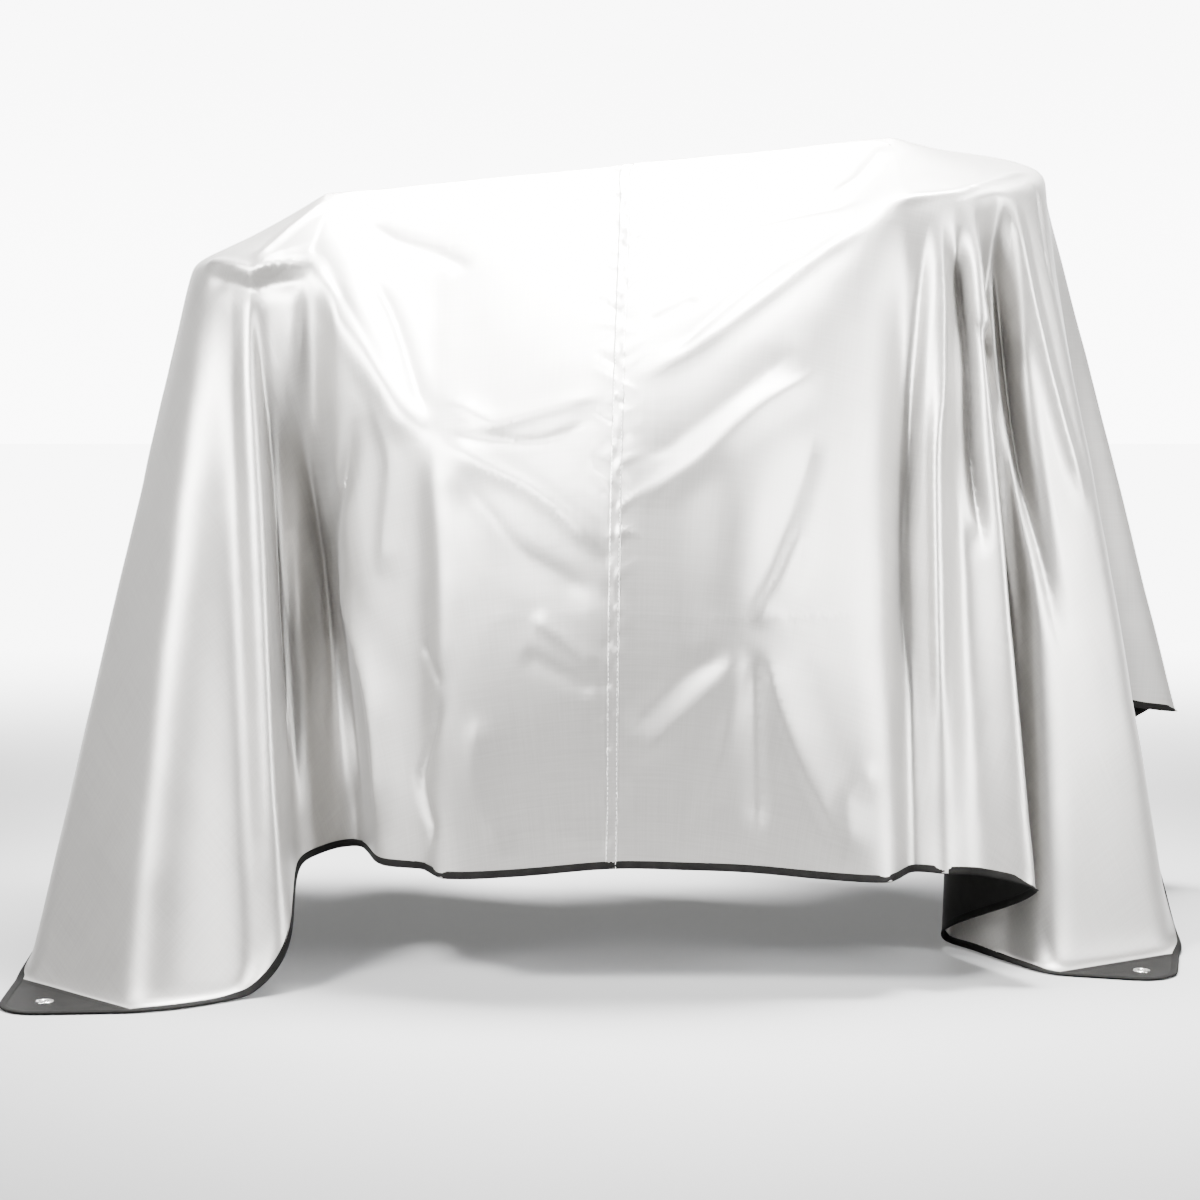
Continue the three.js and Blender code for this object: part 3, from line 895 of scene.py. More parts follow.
SLACK = (
    SlackStrip(((-0.53, -0.25, -0.2), (-0.52, -0.268, -0.4), (-0.503, -0.295, -0.6), (-0.482, -0.33, -0.8),
                (-0.46, -0.352, -0.95)), 72 * MM, 120),
)
FORWARD = np.array([[0.0, -1.0, 0.0]])
CREASES = (
    Crease("left_rim", 8 * MM, 18 * MM, 12 * MM, (
        (-0.689, -0.166), (-0.641, -0.172), (-0.608, -0.182), (-0.598, -0.183), (-0.567, -0.175),
        (-0.522, -0.171), (-0.496, -0.17))),
    Crease("left_under_rim", -8 * MM, 16 * MM, 34 * MM, (
        (-0.683, -0.192), (-0.641, -0.197), (-0.608, -0.208), (-0.592, -0.208), (-0.567, -0.2),
        (-0.522, -0.196), (-0.5, -0.195))),
    Crease("left_peak_front", 4 * MM, 20 * MM, 20 * MM, (
        (-0.495, -0.053), (-0.552, -0.111), (-0.602, -0.175))),
    Crease("left_recess", -88 * MM, 44 * MM, 38 * MM, (
        (-0.546, -0.257), (-0.525, -0.432), (-0.499, -0.635), (-0.473, -0.854),
        (-0.451, -1.061)), straight_back=True, ends=(0.45, 0.5), rounding=0.6, fine=60 * MM),
    Crease("left_flare_ridge", 9 * MM, 16 * MM, 50 * MM, (
        (-0.606, -0.197), (-0.6, -0.282), (-0.59, -0.425), (-0.576, -0.569), (-0.56, -0.778),
        (-0.547, -0.954), (-0.535, -1.069), (-0.526, -1.168))),
    Crease("left_notch_valley", -26 * MM, 30 * MM, 20 * MM, (
        (-0.596, -0.206), (-0.584, -0.331), (-0.564, -0.52), (-0.55, -0.69), (-0.536, -0.847),
        (-0.519, -1.021)), straight_back=True, ends=(0.35, 0.25)),
    Crease("left_dark_valley", -28 * MM, 26 * MM, 36 * MM, (
        (-0.426, -0.377), (-0.444, -0.493), (-0.468, -0.617), (-0.462, -0.698), (-0.446, -0.817),
        (-0.426, -0.955), (-0.417, -1.056)), straight_back=True, ends=(0.3, 0.25)),
    Crease("left_dark_edge", 9 * MM, 45 * MM, 18 * MM, (
        (-0.472, -0.625), (-0.445, -0.709), (-0.409, -0.822), (-0.395, -0.904), (-0.384, -1.05))),
    Crease("left_band_edge", 5 * MM, 50 * MM, 25 * MM, (
        (-0.405, -0.377), (-0.378, -0.446), (-0.37, -0.491), (-0.377, -0.567), (-0.383, -0.666))),
    Crease("left_tension", 8 * MM, 40 * MM, 40 * MM, (
        (-0.496, -0.174), (-0.481, -0.194), (-0.44, -0.259), (-0.396, -0.34), (-0.356, -0.41),
        (-0.327, -0.433), (-0.306, -0.44))),
    Crease("left_streak", -5 * MM, 22 * MM, 18 * MM, (
        (-0.416, -0.182), (-0.375, -0.253), (-0.339, -0.345), (-0.314, -0.412))),
    Crease("left_peak_streak", -4 * MM, 25 * MM, 25 * MM, (
        (-0.436, -0.093), (-0.385, -0.125), (-0.309, -0.152), (-0.252, -0.18))),
    Crease("point_bend", 4 * MM, 35 * MM, 18 * MM, (
        (-0.304, -0.401), (-0.272, -0.392), (-0.223, -0.417), (-0.2, -0.42), (-0.13, -0.402),
        (-0.038, -0.374))),
    Crease("point_shadow", -5 * MM, 18 * MM, 25 * MM, (
        (-0.291, -0.432), (-0.222, -0.44), (-0.14, -0.444), (-0.05, -0.414))),
    Crease("point_bright", 7 * MM, 30 * MM, 28 * MM, (
        (-0.295, -0.449), (-0.221, -0.486), (-0.152, -0.518), (-0.083, -0.572), (-0.041, -0.619))),
    Crease("point_under", -6 * MM, 28 * MM, 50 * MM, (
        (-0.276, -0.489), (-0.22, -0.55), (-0.173, -0.606), (-0.094, -0.651), (-0.046, -0.68))),
    Crease("point_down", 4 * MM, 40 * MM, 40 * MM, (
        (-0.303, -0.453), (-0.294, -0.564), (-0.285, -0.681), (-0.285, -0.81))),
    Crease("low_tip", -4 * MM, 15 * MM, 15 * MM, ((-0.285, -0.811), (-0.302, -0.779), (-0.317, -0.745))),
    Crease("low_crease", -7 * MM, 22 * MM, 14 * MM, (
        (-0.285, -0.814), (-0.29, -0.826), (-0.303, -0.882), (-0.32, -0.945), (-0.311, -0.994),
        (-0.303, -1.023), (-0.308, -1.064))),
    Crease("low_ridge", 5 * MM, 50 * MM, 25 * MM, (
        (-0.231, -0.842), (-0.242, -0.956), (-0.212, -1.018), (-0.188, -1.063))),
    Crease("seam_left_ridge", 4 * MM, 25 * MM, 16 * MM, (
        (-0.154, -0.7), (-0.094, -0.743), (-0.053, -0.781))),
    Crease("seam_left_under", -4 * MM, 16 * MM, 30 * MM, (
        (-0.168, -0.752), (-0.109, -0.783), (-0.053, -0.809))),
    Crease("packing_left", 0.8 * MM, 6 * MM, 6 * MM, ((-0.227, -0.701), (-0.139, -0.7), (-0.044, -0.697))),
    Crease("packing_right", 0.7 * MM, 6 * MM, 6 * MM, ((-0.018, -0.702), (0.157, -0.704), (0.372, -0.704))),
    Crease("right_facet", 4 * MM, 25 * MM, 25 * MM, (
        (0.427, 0.036), (0.393, -0.004), (0.366, -0.032), (0.323, -0.059))),
    Crease("right_streak_high", -4 * MM, 30 * MM, 25 * MM, (
        (0.296, -0.001), (0.198, -0.038), (0.042, -0.071))),
    Crease("right_streak_low", -4 * MM, 22 * MM, 22 * MM, (
        (0.374, -0.068), (0.245, -0.091), (0.132, -0.114))),
    Crease("right_bend", 7 * MM, 22 * MM, 35 * MM, (
        (0.392, -0.09), (0.364, -0.113), (0.286, -0.167), (0.183, -0.243), (0.084, -0.313),
        (-0.014, -0.363))),
    Crease("right_bend_above", -4 * MM, 20 * MM, 25 * MM, (
        (0.264, -0.147), (0.166, -0.218), (0.049, -0.322))),
    Crease("right_bend_faint", -3 * MM, 18 * MM, 18 * MM, ((0.106, -0.225), (0.021, -0.268))),
    Crease("right_fold_above", -5 * MM, 25 * MM, 45 * MM, (
        (0.256, -0.301), (0.154, -0.376), (0.055, -0.451), (-0.011, -0.476))),
    Crease("right_fold", 7 * MM, 40 * MM, 25 * MM, (
        (0.296, -0.336), (0.238, -0.366), (0.177, -0.403), (0.081, -0.483), (0.009, -0.527),
        (-0.017, -0.536))),
    Crease("right_fold_under", -5 * MM, 30 * MM, 60 * MM, (
        (0.276, -0.423), (0.26, -0.49), (0.223, -0.584), (0.193, -0.664), (0.179, -0.714))),
    Crease("star_ridge", 5 * MM, 45 * MM, 20 * MM, (
        (0.257, -0.563), (0.219, -0.642), (0.197, -0.675), (0.182, -0.725))),
    Crease("star_trough", -9 * MM, 22 * MM, 40 * MM, (
        (0.177, -0.743), (0.18, -0.809), (0.182, -0.898), (0.187, -1.032))),
    Crease("star_right_edge", 7 * MM, 60 * MM, 18 * MM, (
        (0.182, -0.741), (0.2, -0.795), (0.224, -0.864), (0.251, -0.932), (0.285, -0.995),
        (0.313, -1.062))),
    Crease("star_left_edge", 3 * MM, 25 * MM, 30 * MM, (
        (0.171, -0.745), (0.148, -0.83), (0.129, -0.914), (0.082, -1.034))),
    Crease("star_shade", -6 * MM, 40 * MM, 28 * MM, (
        (0.149, -0.753), (0.077, -0.783), (0.024, -0.831), (-0.018, -0.875))),
    Crease("star_light", 5 * MM, 40 * MM, 35 * MM, (
        (0.168, -0.748), (0.108, -0.812), (0.039, -0.88), (-0.013, -0.916))),
    Crease("corner_shade", 4 * MM, 45 * MM, 25 * MM, (
        (0.369, -0.923), (0.331, -0.955), (0.317, -0.982), (0.325, -1.059))),
    Crease("right_rim", 5 * MM, 18 * MM, 12 * MM, (
        (0.394, -0.08), (0.441, -0.068), (0.475, -0.064), (0.52, -0.057), (0.55, -0.047), (0.599, -0.031),
        (0.661, -0.01))),
    Crease("gather_valley_a", -14 * MM, 20 * MM, 40 * MM, (
        (0.469, -0.081), (0.461, -0.135), (0.452, -0.226), (0.437, -0.385), (0.428, -0.493),
        (0.416, -0.63), (0.414, -0.839)), straight_back=True),
    Crease("gather_ridge_b", 8 * MM, 16 * MM, 16 * MM, (
        (0.488, -0.077), (0.486, -0.154), (0.484, -0.262), (0.479, -0.369), (0.468, -0.474),
        (0.465, -0.688), (0.465, -0.924))),
    Crease("gather_valley_c", -22 * MM, 22 * MM, 24 * MM, (
        (0.511, -0.101), (0.519, -0.226), (0.527, -0.334), (0.529, -0.475),
        (0.544, -0.63)), straight_back=True),
    Crease("gather_ridge_d", 11 * MM, 14 * MM, 20 * MM, (
        (0.542, -0.063), (0.543, -0.153), (0.551, -0.262), (0.582, -0.405), (0.595, -0.551),
        (0.607, -0.732), (0.613, -0.886)), ends=(0.15, 0.4)),
    Crease("gather_valley_e", -30 * MM, 36 * MM, 24 * MM, (
        (0.577, -0.107), (0.591, -0.223), (0.604, -0.37), (0.621, -0.513), (0.65, -0.652),
        (0.685, -0.823)), straight_back=True, ends=(0.25, 0.5)),
    Crease("gather_ridge_f", 10 * MM, 24 * MM, 24 * MM, (
        (0.604, -0.043), (0.621, -0.131), (0.639, -0.223), (0.663, -0.333), (0.691, -0.443),
        (0.732, -0.576))),
    Crease("gather_valley_g", -5 * MM, 12 * MM, 12 * MM, (
        (0.658, -0.032), (0.665, -0.072), (0.673, -0.148), (0.685, -0.209))),
)


@dataclass(frozen=True)
class Puckers:
    """Short slanting wrinkles that the stitching draws in beside the seam."""

    seed: int = 7
    pitch: float = 24 * MM
    reach: float = 55 * MM
    width: float = 6.5 * MM
    depth: float = 3.6 * MM
    slant: float = 0.75
    gap_range: tuple[float, float] = (0.55, 1.6)
    slant_range: tuple[float, float] = (0.3, 1.4)
    reach_range: tuple[float, float] = (0.4, 1.3)
    depth_range: tuple[float, float] = (0.35, 1.2)

    def lift(self, along: np.ndarray, across: np.ndarray, length: float) -> np.ndarray:
        """How far each point is lifted.

        Args:
            along: How far along the seam each point is.
            across: How far beside the seam each point is, with its side.
            length: Length of the seam.

        Returns:
            The lift in metres.
        """
        draw = random.Random(self.seed)
        lift = np.zeros(len(along))
        for way in (-1.0, 1.0):
            place = 0.0
            while place < length:
                place += self.pitch * draw.uniform(*self.gap_range)
                slant = self.slant * draw.uniform(*self.slant_range) * draw.choice((1.0, 1.0, -0.6))
                reach = self.reach * draw.uniform(*self.reach_range)
                depth = self.depth * draw.uniform(*self.depth_range) * draw.choice((1.0, -1.0, 1.0))
                beside = way * across
                off = along - place - slant * np.maximum(beside, 0.0)
                fade = np.clip(1.0 - beside / reach, 0.0, 1.0) * (beside > 0.0)
                rise = np.clip(beside / (0.12 * reach), 0.0, 1.0)
                lift += depth * fade ** 1.4 * rise * np.exp(-((off / self.width) ** 2))
        return lift


@dataclass
class CoverCloth:
    """The two sewn panels of silver cloth with a black inner face."""

    solids: PackedSolids
    thick: float = 1.4 * MM
    packed_thick: float = 2.0 * MM
    flat_size: dict[Side, tuple[float, float]] = field(
        default_factory=lambda: {Side.LEFT: (1.22, 2.03), Side.RIGHT: (1.52, 2.03)})
    sharp_turn: float = 28.0
    seam_snap: float = 0.9 * MM
    coarse_edge: float = 26 * MM
    passes: tuple[tuple[float, float], ...] = ((14 * MM, 24 * MM), (10.4 * MM, 12 * MM))
    seam_zone: float = 38 * MM
    ripple: float = 1.6 * MM
    ripple_length: float = 0.16
    hem_flat: float = 8 * MM
    hem_ease: float = 40 * MM
    puckers: Puckers = Puckers()
    cloth: Cloth = field(init=False)
    seam: np.ndarray = field(init=False)
    creases: dict[str, np.ndarray] = field(init=False)
    pieces: dict[Side, bpy.types.Object] = field(init=False, default_factory=dict)

    def __post_init__(self) -> None:
        """Makes the fine sheet with all its creases."""
        base = self._joined()
        base = self._flattened(base)
        for _ in range(2):
            base = base.smoothed(base.hem_corners(self.sharp_turn))
        for strip in SLACK:
            strip.ease(base)
        tree = BVHTree.FromPolygons(base.points[:, :3].tolist(), base.faces.tolist())
        self.creases = {crease.name: crease.on_cloth(tree) for crease in CREASES}
        for edge, zone in self.passes:
            base = base.refined(self._edge_limit(base, edge, zone))
        self.cloth = base
        self.seam = self._seam_line()
        self._settle()
        self._press()

    def _joined(self) -> Cloth:
        """Both panels' outer faces, sewn together along the seam."""
        points, faces, side = [], [], []
        start = 0
        for number, panel in enumerate(Side):
            places, corners = self.solids.outer_face(panel.value, self.packed_thick)
            points.append(places)
            faces.append(corners + start)
            side.append(np.full(len(corners), number))
            start += len(places)
        places = np.concatenate(points)
        corners = np.concatenate(faces)
        first = len(points[0])
        same = np.arange(len(places))
        for number in range(first, len(places)):
            gap = np.linalg.norm(places[:first] - places[number], axis=1)
            near = int(gap.argmin())
            if gap[near] < self.seam_snap:
                same[number] = near
                places[near] = 0.5 * (places[near] + places[number])
        used, corners = np.unique(same[corners], return_inverse=True)
        return Cloth(places[used], corners.reshape(-1, 3), np.concatenate(side))

    def _flattened(self, base: Cloth) -> Cloth:
        """Adds each point's place on the flat cloth, in metres, with the seam upright.

        Args:
            base: The sewn sheet.

        Returns:
            The sheet with two more columns of points.
        """
        made = new_object("flat_layout", base.points, base.faces.tolist(), [])
        made.data.uv_layers.new(name="layout")
        only(made)
        bpy.ops.object.mode_set(mode="EDIT")
        bpy.ops.mesh.select_all(action="SELECT")
        bpy.ops.uv.unwrap(method="MINIMUM_STRETCH")
        bpy.ops.object.mode_set(mode="OBJECT")
        corner = np.empty(len(made.data.loops), np.int32)
        made.data.loops.foreach_get("vertex_index", corner)
        spread = np.empty(2 * len(corner), np.float32)
        made.data.uv_layers[0].data.foreach_get("uv", spread)
        flat = np.zeros((len(base.points), 2))
        flat[corner] = spread.reshape(-1, 2)
        bpy.data.objects.remove(made)
        a, b, c = (flat[base.faces[:, k]] for k in range(3))
        signed = 0.5 * np.cross(b - a, c - a).sum()
        real = 0.5 * np.linalg.norm(face_normals(base.points, base.faces), axis=1).sum()
        flat *= math.sqrt(real / abs(signed))
        if signed < 0.0:
            flat[:, 0] *= -1.0
        ends = self._seam_points(base)
        top = flat[ends[np.argmax(base.points[ends, 2])]]
        front = flat[ends[np.argmin(base.points[ends, 1])]]
        turn = math.atan2(*(top - front))
        spin = np.array([[math.cos(turn), math.sin(turn)], [-math.sin(turn), math.cos(turn)]])
        flat = (flat - top) @ spin
        return Cloth(np.concatenate([base.points, flat], axis=1), base.faces, base.side)

    @staticmethod
    def _seam_points(sheet: Cloth) -> np.ndarray:
        """Points that both panels share."""
        shared = [np.unique(sheet.faces[sheet.side == n]) for n in range(2)]
        return np.intersect1d(*shared)

    def _seam_line(self) -> np.ndarray:
        """Points of the seam in order, from the front hem over the top to the back hem."""
        sheet = self.cloth
        lines, sides, count = sheet.edges()
        owner = np.zeros((len(lines), 2), bool)
        for number in range(2):
            owner[np.unique(sides[sheet.side == number]), number] = True
        links = lines[owner.all(axis=1)]
        beside: dict[int, list[int]] = {}
        for a, b in links:
            beside.setdefault(int(a), []).append(int(b))
            beside.setdefault(int(b), []).append(int(a))
        ends = [k for k, near in beside.items() if len(near) == 1]
        order = [min(ends, key=lambda k: sheet.points[k, 1])]
        seen = set(order)
        while True:
            onward = [k for k in beside[order[-1]] if k not in seen]
            if not onward:
                return np.array(order)
            order.append(onward[0])
            seen.add(onward[0])

    def _edge_limit(self, sheet: Cloth, edge: float, zone: float) -> np.ndarray:
        """The longest edge wanted at each point: short by the seam and the creases.

        Args:
            sheet: The sheet.
            edge: The longest edge there.
            zone: How far from a crease that holds.

        Returns:
            Lengths in metres.
        """
        place = sheet.points[:, :3]
        near = nearest_gap(place, place[self._seam_points(sheet)]) < self.seam_zone
        for crease in CREASES:
            near |= segment_distance(place, self.creases[crease.name])[0] < max(zone, crease.fine)
        return np.where(near, edge, self.coarse_edge)

    def _settle(self) -> None:
        """Moves the outer face in to the visible cloth's thickness."""
        inset = 0.5 * (self.packed_thick - self.thick)
        self.cloth.points[:, :3] -= inset * self.cloth.normals()

    def _press(self) -> None:
        """Presses the creases, the puckers and a slight unevenness into the cloth."""
        place = self.cloth.points[:, :3]
        normals = self.cloth.normals()
        gap, along = segment_distance(place, place[self.seam])
        length = float(walked_along(place[self.seam])[-1])
        right = np.zeros(len(place), bool)
        right[np.unique(self.cloth.faces[self.cloth.side == 1])] = True
        near = gap < 1.4 * self.puckers.reach
        across = np.where(right, gap, -gap)
        scale = 1.0 / self.ripple_length
        spots = [Vector(p) * scale for p in place]
        lift = self.ripple * np.array([noise.noise(p) + 0.5 * noise.noise(p * 2.3) for p in spots])
        lift[near] += self.puckers.lift(along[near], across[near], length)
        move = lift[:, None] * normals
        for crease in CREASES:
            move += crease.lift(place, normals, self.creases[crease.name])
        self.cloth.points[:, :3] += self._away_from_hem(place)[:, None] * move

    def _away_from_hem(self, place: np.ndarray) -> np.ndarray:
        """Share of the creases that each point keeps, from 0 at the bound hem to 1 away from it."""
        gap = nearest_gap(place, place[self.cloth.hem()])
        return np.clip((gap - self.hem_flat) / self.hem_ease, 0.0, 1.0)

    def build(self, outside: bpy.types.Material, inside: bpy.types.Material) -> None:
        """Makes the two panel objects, each a closed thin sheet.

        Args:
            outside: Finish of the outer face.
            inside: Finish of the inner face.
        """
        normals = self.cloth.normals()
        for number, panel in enumerate(Side):
            faces = self.cloth.faces[self.cloth.side == number]
            used, faces = np.unique(faces, return_inverse=True)
            faces = faces.reshape(-1, 3)
            outer = self.cloth.points[used, :3]
            inner = outer - self.thick * normals[used]
            flat = self.cloth.points[used, 3:5]
            count = len(used)
            start, end = lone_edges(faces, count).T
            rim = np.concatenate([np.stack([end, start, start + count], axis=1),
                                  np.stack([end, start + count, end + count], axis=1)])
            every = np.concatenate([faces, faces[:, ::-1] + count, rim])
            finish = np.concatenate([np.zeros(len(faces)), np.ones(len(faces)), np.ones(len(rim))])
            name = "cloth_" + panel.name.lower()
            piece = new_object(name, np.concatenate([outer, inner]), every.tolist(),
                               [outside, inside], np.concatenate([flat, flat]), finish)
            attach(piece, BODY)
            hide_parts(panel.value)
            self.pieces[panel] = piece
            LOG.info("%s: %d triangles", name, len(every))


# Corner patches and eyelets


@dataclass
class Corner:
    """One flat black corner, read from its packed patch."""

    LEVEL = 0.7
    SAME_ANGLE = 2e-3

    name: str
    solids: PackedSolids
    outline: np.ndarray = field(init=False)
    normal: np.ndarray = field(init=False)
    ends: tuple[np.ndarray, np.ndarray] = field(init=False)
    hem: np.ndarray = field(init=False)
    eye: np.ndarray = field(init=False)

    def __post_init__(self) -> None:
        """Reads the middle plane, the outline and the eyelet's place."""
        points, faces = self.solids.welded("corner_patch_" + self.name)
        eyelet, _ = self.solids.welded("eyelet_" + self.name)
        self.eye = 0.5 * (eyelet.min(axis=0) + eyelet.max(axis=0))
        flat = face_normals(points, faces)
        widest = unit(flat[np.argmax(np.linalg.norm(flat, axis=1))][None])[0]
        outward = points.mean(axis=0) - PackedSolids.INSIDE
        up_or_out = widest[2] if abs(widest[2]) > self.LEVEL else widest @ outward
        self.normal = widest if up_or_out > 0.0 else -widest
        height = (points - self.eye) @ self.normal
        top = points[height > 0.0]
        middle = top - ((top - self.eye) @ self.normal)[:, None] * self.normal
        self.outline = self._ordered(middle)
        gaps = np.linalg.norm(self.outline[:, None] - self.outline[None], axis=2)
        first, second = np.unravel_index(int(gaps.argmax()), gaps.shape)
        self._split(int(first), int(second))

    def _ordered(self, middle: np.ndarray) -> np.ndarray:
        """The outermost points in order round the eyelet, seen from outside.

        Args:
            middle: Points of the patch in its middle plane.

        Returns:
            The outline.
        """
        side = unit(np.cross(self.normal, (middle - self.eye)[0])[None])[0]
        fore = np.cross(side, self.normal)
        rel = middle - self.eye
        angle = np.arctan2(rel @ side, rel @ fore)
        reach = np.linalg.norm(rel, axis=1)
        kept = []
        for turn in np.unique(np.round(angle, 3)):
            near = np.flatnonzero(np.abs(angle - turn) < self.SAME_ANGLE)
            kept.append(near[np.argmax(reach[near])])
        return middle[np.array(kept)]

    def _split(self, first: int, second: int) -> None:
        """Parts the outline into the straight inner edge and the hem.

        Args:
            first: Number of one end of the inner edge.
            second: Number of the other end.
        """
        count = len(self.outline)
        way = [[(start + k) % count for k in range((stop - start) % count + 1)]
               for start, stop in ((first, second), (second, first))]
        lengths = [walked_along(self.outline[w])[-1] for w in way]
        self.hem = self.outline[way[int(np.argmax(lengths))]]
        self.ends = (self.hem[0], self.hem[-1])


@dataclass
class CornerPatches:
    """Black cloth corners, sewn over the silver cloth along their inner edges."""

    corners: list[Corner]
    overlap: float = 8 * MM
    half: float = 0.9 * MM
    proud: float = 1.7 * MM
    hole: float = 7.4 * MM
    rings: int = 14
    step: float = 6 * MM
    wave: float = 0.5 * MM
    wave_scale: float = 30.0
    climb: float = 2 * MM
    edge_drop: float = 0.35
    pieces: dict[str, bpy.types.Object] = field(init=False, default_factory=dict)

    def build(self, finish: bpy.types.Material) -> None:
        """Makes the four patches.

        Args:
            finish: Their material.
        """
        for corner in self.corners:
            piece = self._patch(corner, finish)
            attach(piece, BODY)
            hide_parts("corner_patch_" + corner.name)
            self.pieces[corner.name] = piece
            LOG.info("%s: %d faces", piece.name, len(piece.data.polygons))

    def _patch(self, corner: Corner, finish: bpy.types.Material) -> bpy.types.Object:
        """One patch, in rings from the eyelet's hole to its edge.

        Args:
            corner: The corner.
            finish: Its material.

        Returns:
            The object.
        """
        start, end = corner.ends
        along = unit((end - start)[None])[0]
        inward = np.cross(corner.normal, along)
        if inward @ (corner.eye - start) > 0.0:
            inward = -inward
        flap = [end + self.overlap * inward, start + self.overlap * inward]
        edge = evenly(np.array([*corner.hem, *flap, corner.hem[0]]), self.step)[:-1]
        count = len(edge)
        reach = np.linalg.norm(edge - corner.eye, axis=1)[:, None]
        spoke = (edge - corner.eye) / reach
        tops, lows, flats = [], [], []
        for ring in range(self.rings + 1):
            share = ring / self.rings
            place = corner.eye + spoke * (self.hole + (reach - self.hole) * share)
            beyond = (place - start) @ inward
            over = np.clip(beyond / self.climb + 1.0, 0.0, 1.0)[:, None]
            ease = math.sin(math.pi * share)
            waves = np.array([noise.noise(Vector(p) * self.wave_scale) for p in place])[:, None]
            lift = self.wave * ease * waves
            top = self.half + (self.proud - self.half) * over + lift
            low = -self.half + 2.0 * self.half * over + lift
            if ring == self.rings:
                top = top - self.edge_drop * (self.proud - self.half)
            tops.append(place + top * corner.normal)
            lows.append(place + low * corner.normal)
            flats.append(np.stack([(place - start) @ along, beyond], axis=1))
        points = np.concatenate(tops + lows)
        faces = self._ring_faces(count, self.rings)
        piece = new_object("patch_" + corner.name, points, faces, [finish], np.concatenate(flats + flats))
        face_out(piece)
        return piece

    @staticmethod
    def _ring_faces(count: int, rings: int) -> list[list[int]]:
        """Quads of both faces of a ringed plate, its hole and its edge.

        Args:
            count: Points round a ring.
            rings: Number of bands.

        Returns:
            The faces.
        """
        low = count * (rings + 1)
        rim = count * rings
        top = grid_faces(rings + 1, count, round_columns=True)
        faces = top + [[low + k for k in reversed(face)] for face in top]
        for k in range(count):
            after = (k + 1) % count
            faces.append([after, k, low + k, low + after])
            faces.append([rim + k, rim + after, low + rim + after, low + rim + k])
        return faces


def evenly(line: np.ndarray, step: float, least: int = 2) -> np.ndarray:
    """Points at even steps along a line.

    Args:
        line: Corners of the line.
        step: The step, in metres.
        least: The least number of points.

    Returns:
        The points, both ends among them.
    """
    walked = walked_along(line[:, :3])
    count = max(least, int(round(walked[-1] / step)) + 1)
    at = np.linspace(0.0, walked[-1], count)
    return np.stack([np.interp(at, walked, line[:, k]) for k in range(line.shape[1])], axis=1)


@dataclass
class Eyelets:
    """Pressed metal eyelets, rolled over on both faces of a patch."""

    corners: list[Corner]
    bore: float = 6.0 * MM
    flange: float = 13.0 * MM
    crown: float = 2.3 * MM
    foot: float = 1.0 * MM
    turns: int = 48
    pieces: dict[str, bpy.types.Object] = field(init=False, default_factory=dict)

    def _profile(self) -> list[tuple[float, float]]:
        """Radius and height of the rolled ring's section, from the rim over the crown and back."""
        middle = 0.5 * (self.bore + self.flange)
        half = 0.5 * (self.flange - self.bore)
        upper = []
        for k in range(9):
            angle = math.pi * k / 8
            upper.append((middle + half * math.cos(angle),
                          self.foot + (self.crown - self.foot) * math.sin(angle) ** 0.8))
        lower = [(radius, -height) for radius, height in reversed(upper)]
        return upper + lower

    def build(self, finish: bpy.types.Material) -> None:
        """Makes the four eyelets.

        Args:
            finish: Their material.
        """
        for corner in self.corners:
            piece = self._ring(corner, finish)
            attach(piece, BODY)
            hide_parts("eyelet_" + corner.name)
            self.pieces[corner.name] = piece
            LOG.info("%s: %d faces", piece.name, len(piece.data.polygons))

    def _ring(self, corner: Corner, finish: bpy.types.Material) -> bpy.types.Object:
        """One eyelet, spun round its hole and set in its patch.

        Args:
            corner: The corner that it is in.
            finish: Its material.

        Returns:
            The object.
        """
        profile = self._profile()
        mesh = bpy.data.meshes.new("eyelet_ring_" + corner.name)
        mesh.from_pydata([(r, 0.0, z) for r, z in profile],
                         [(k, (k + 1) % len(profile)) for k in range(len(profile))], [])
        piece = bpy.data.objects.new("eyelet_ring_" + corner.name, mesh)
        bpy.context.scene.collection.objects.link(piece)
        only(piece)
        bpy.ops.object.mode_set(mode="EDIT")
        bpy.ops.mesh.select_all(action="SELECT")
        bpy.ops.mesh.spin(steps=self.turns, angle=2.0 * math.pi, center=(0, 0, 0), axis=(0, 0, 1))
        bpy.ops.mesh.select_all(action="SELECT")
        bpy.ops.mesh.remove_doubles(threshold=0.02 * MM)
        bpy.ops.mesh.normals_make_consistent(inside=False)
        bpy.ops.object.mode_set(mode="OBJECT")
        bpy.ops.object.shade_smooth()
        turn = Vector((0, 0, 1)).rotation_difference(Vector(corner.normal)).to_matrix().to_4x4()
        piece.data.transform(Matrix.Translation(Vector(corner.eye)) @ turn)
        piece.data.materials.append(finish)
        return piece


# Folded tape round the hem


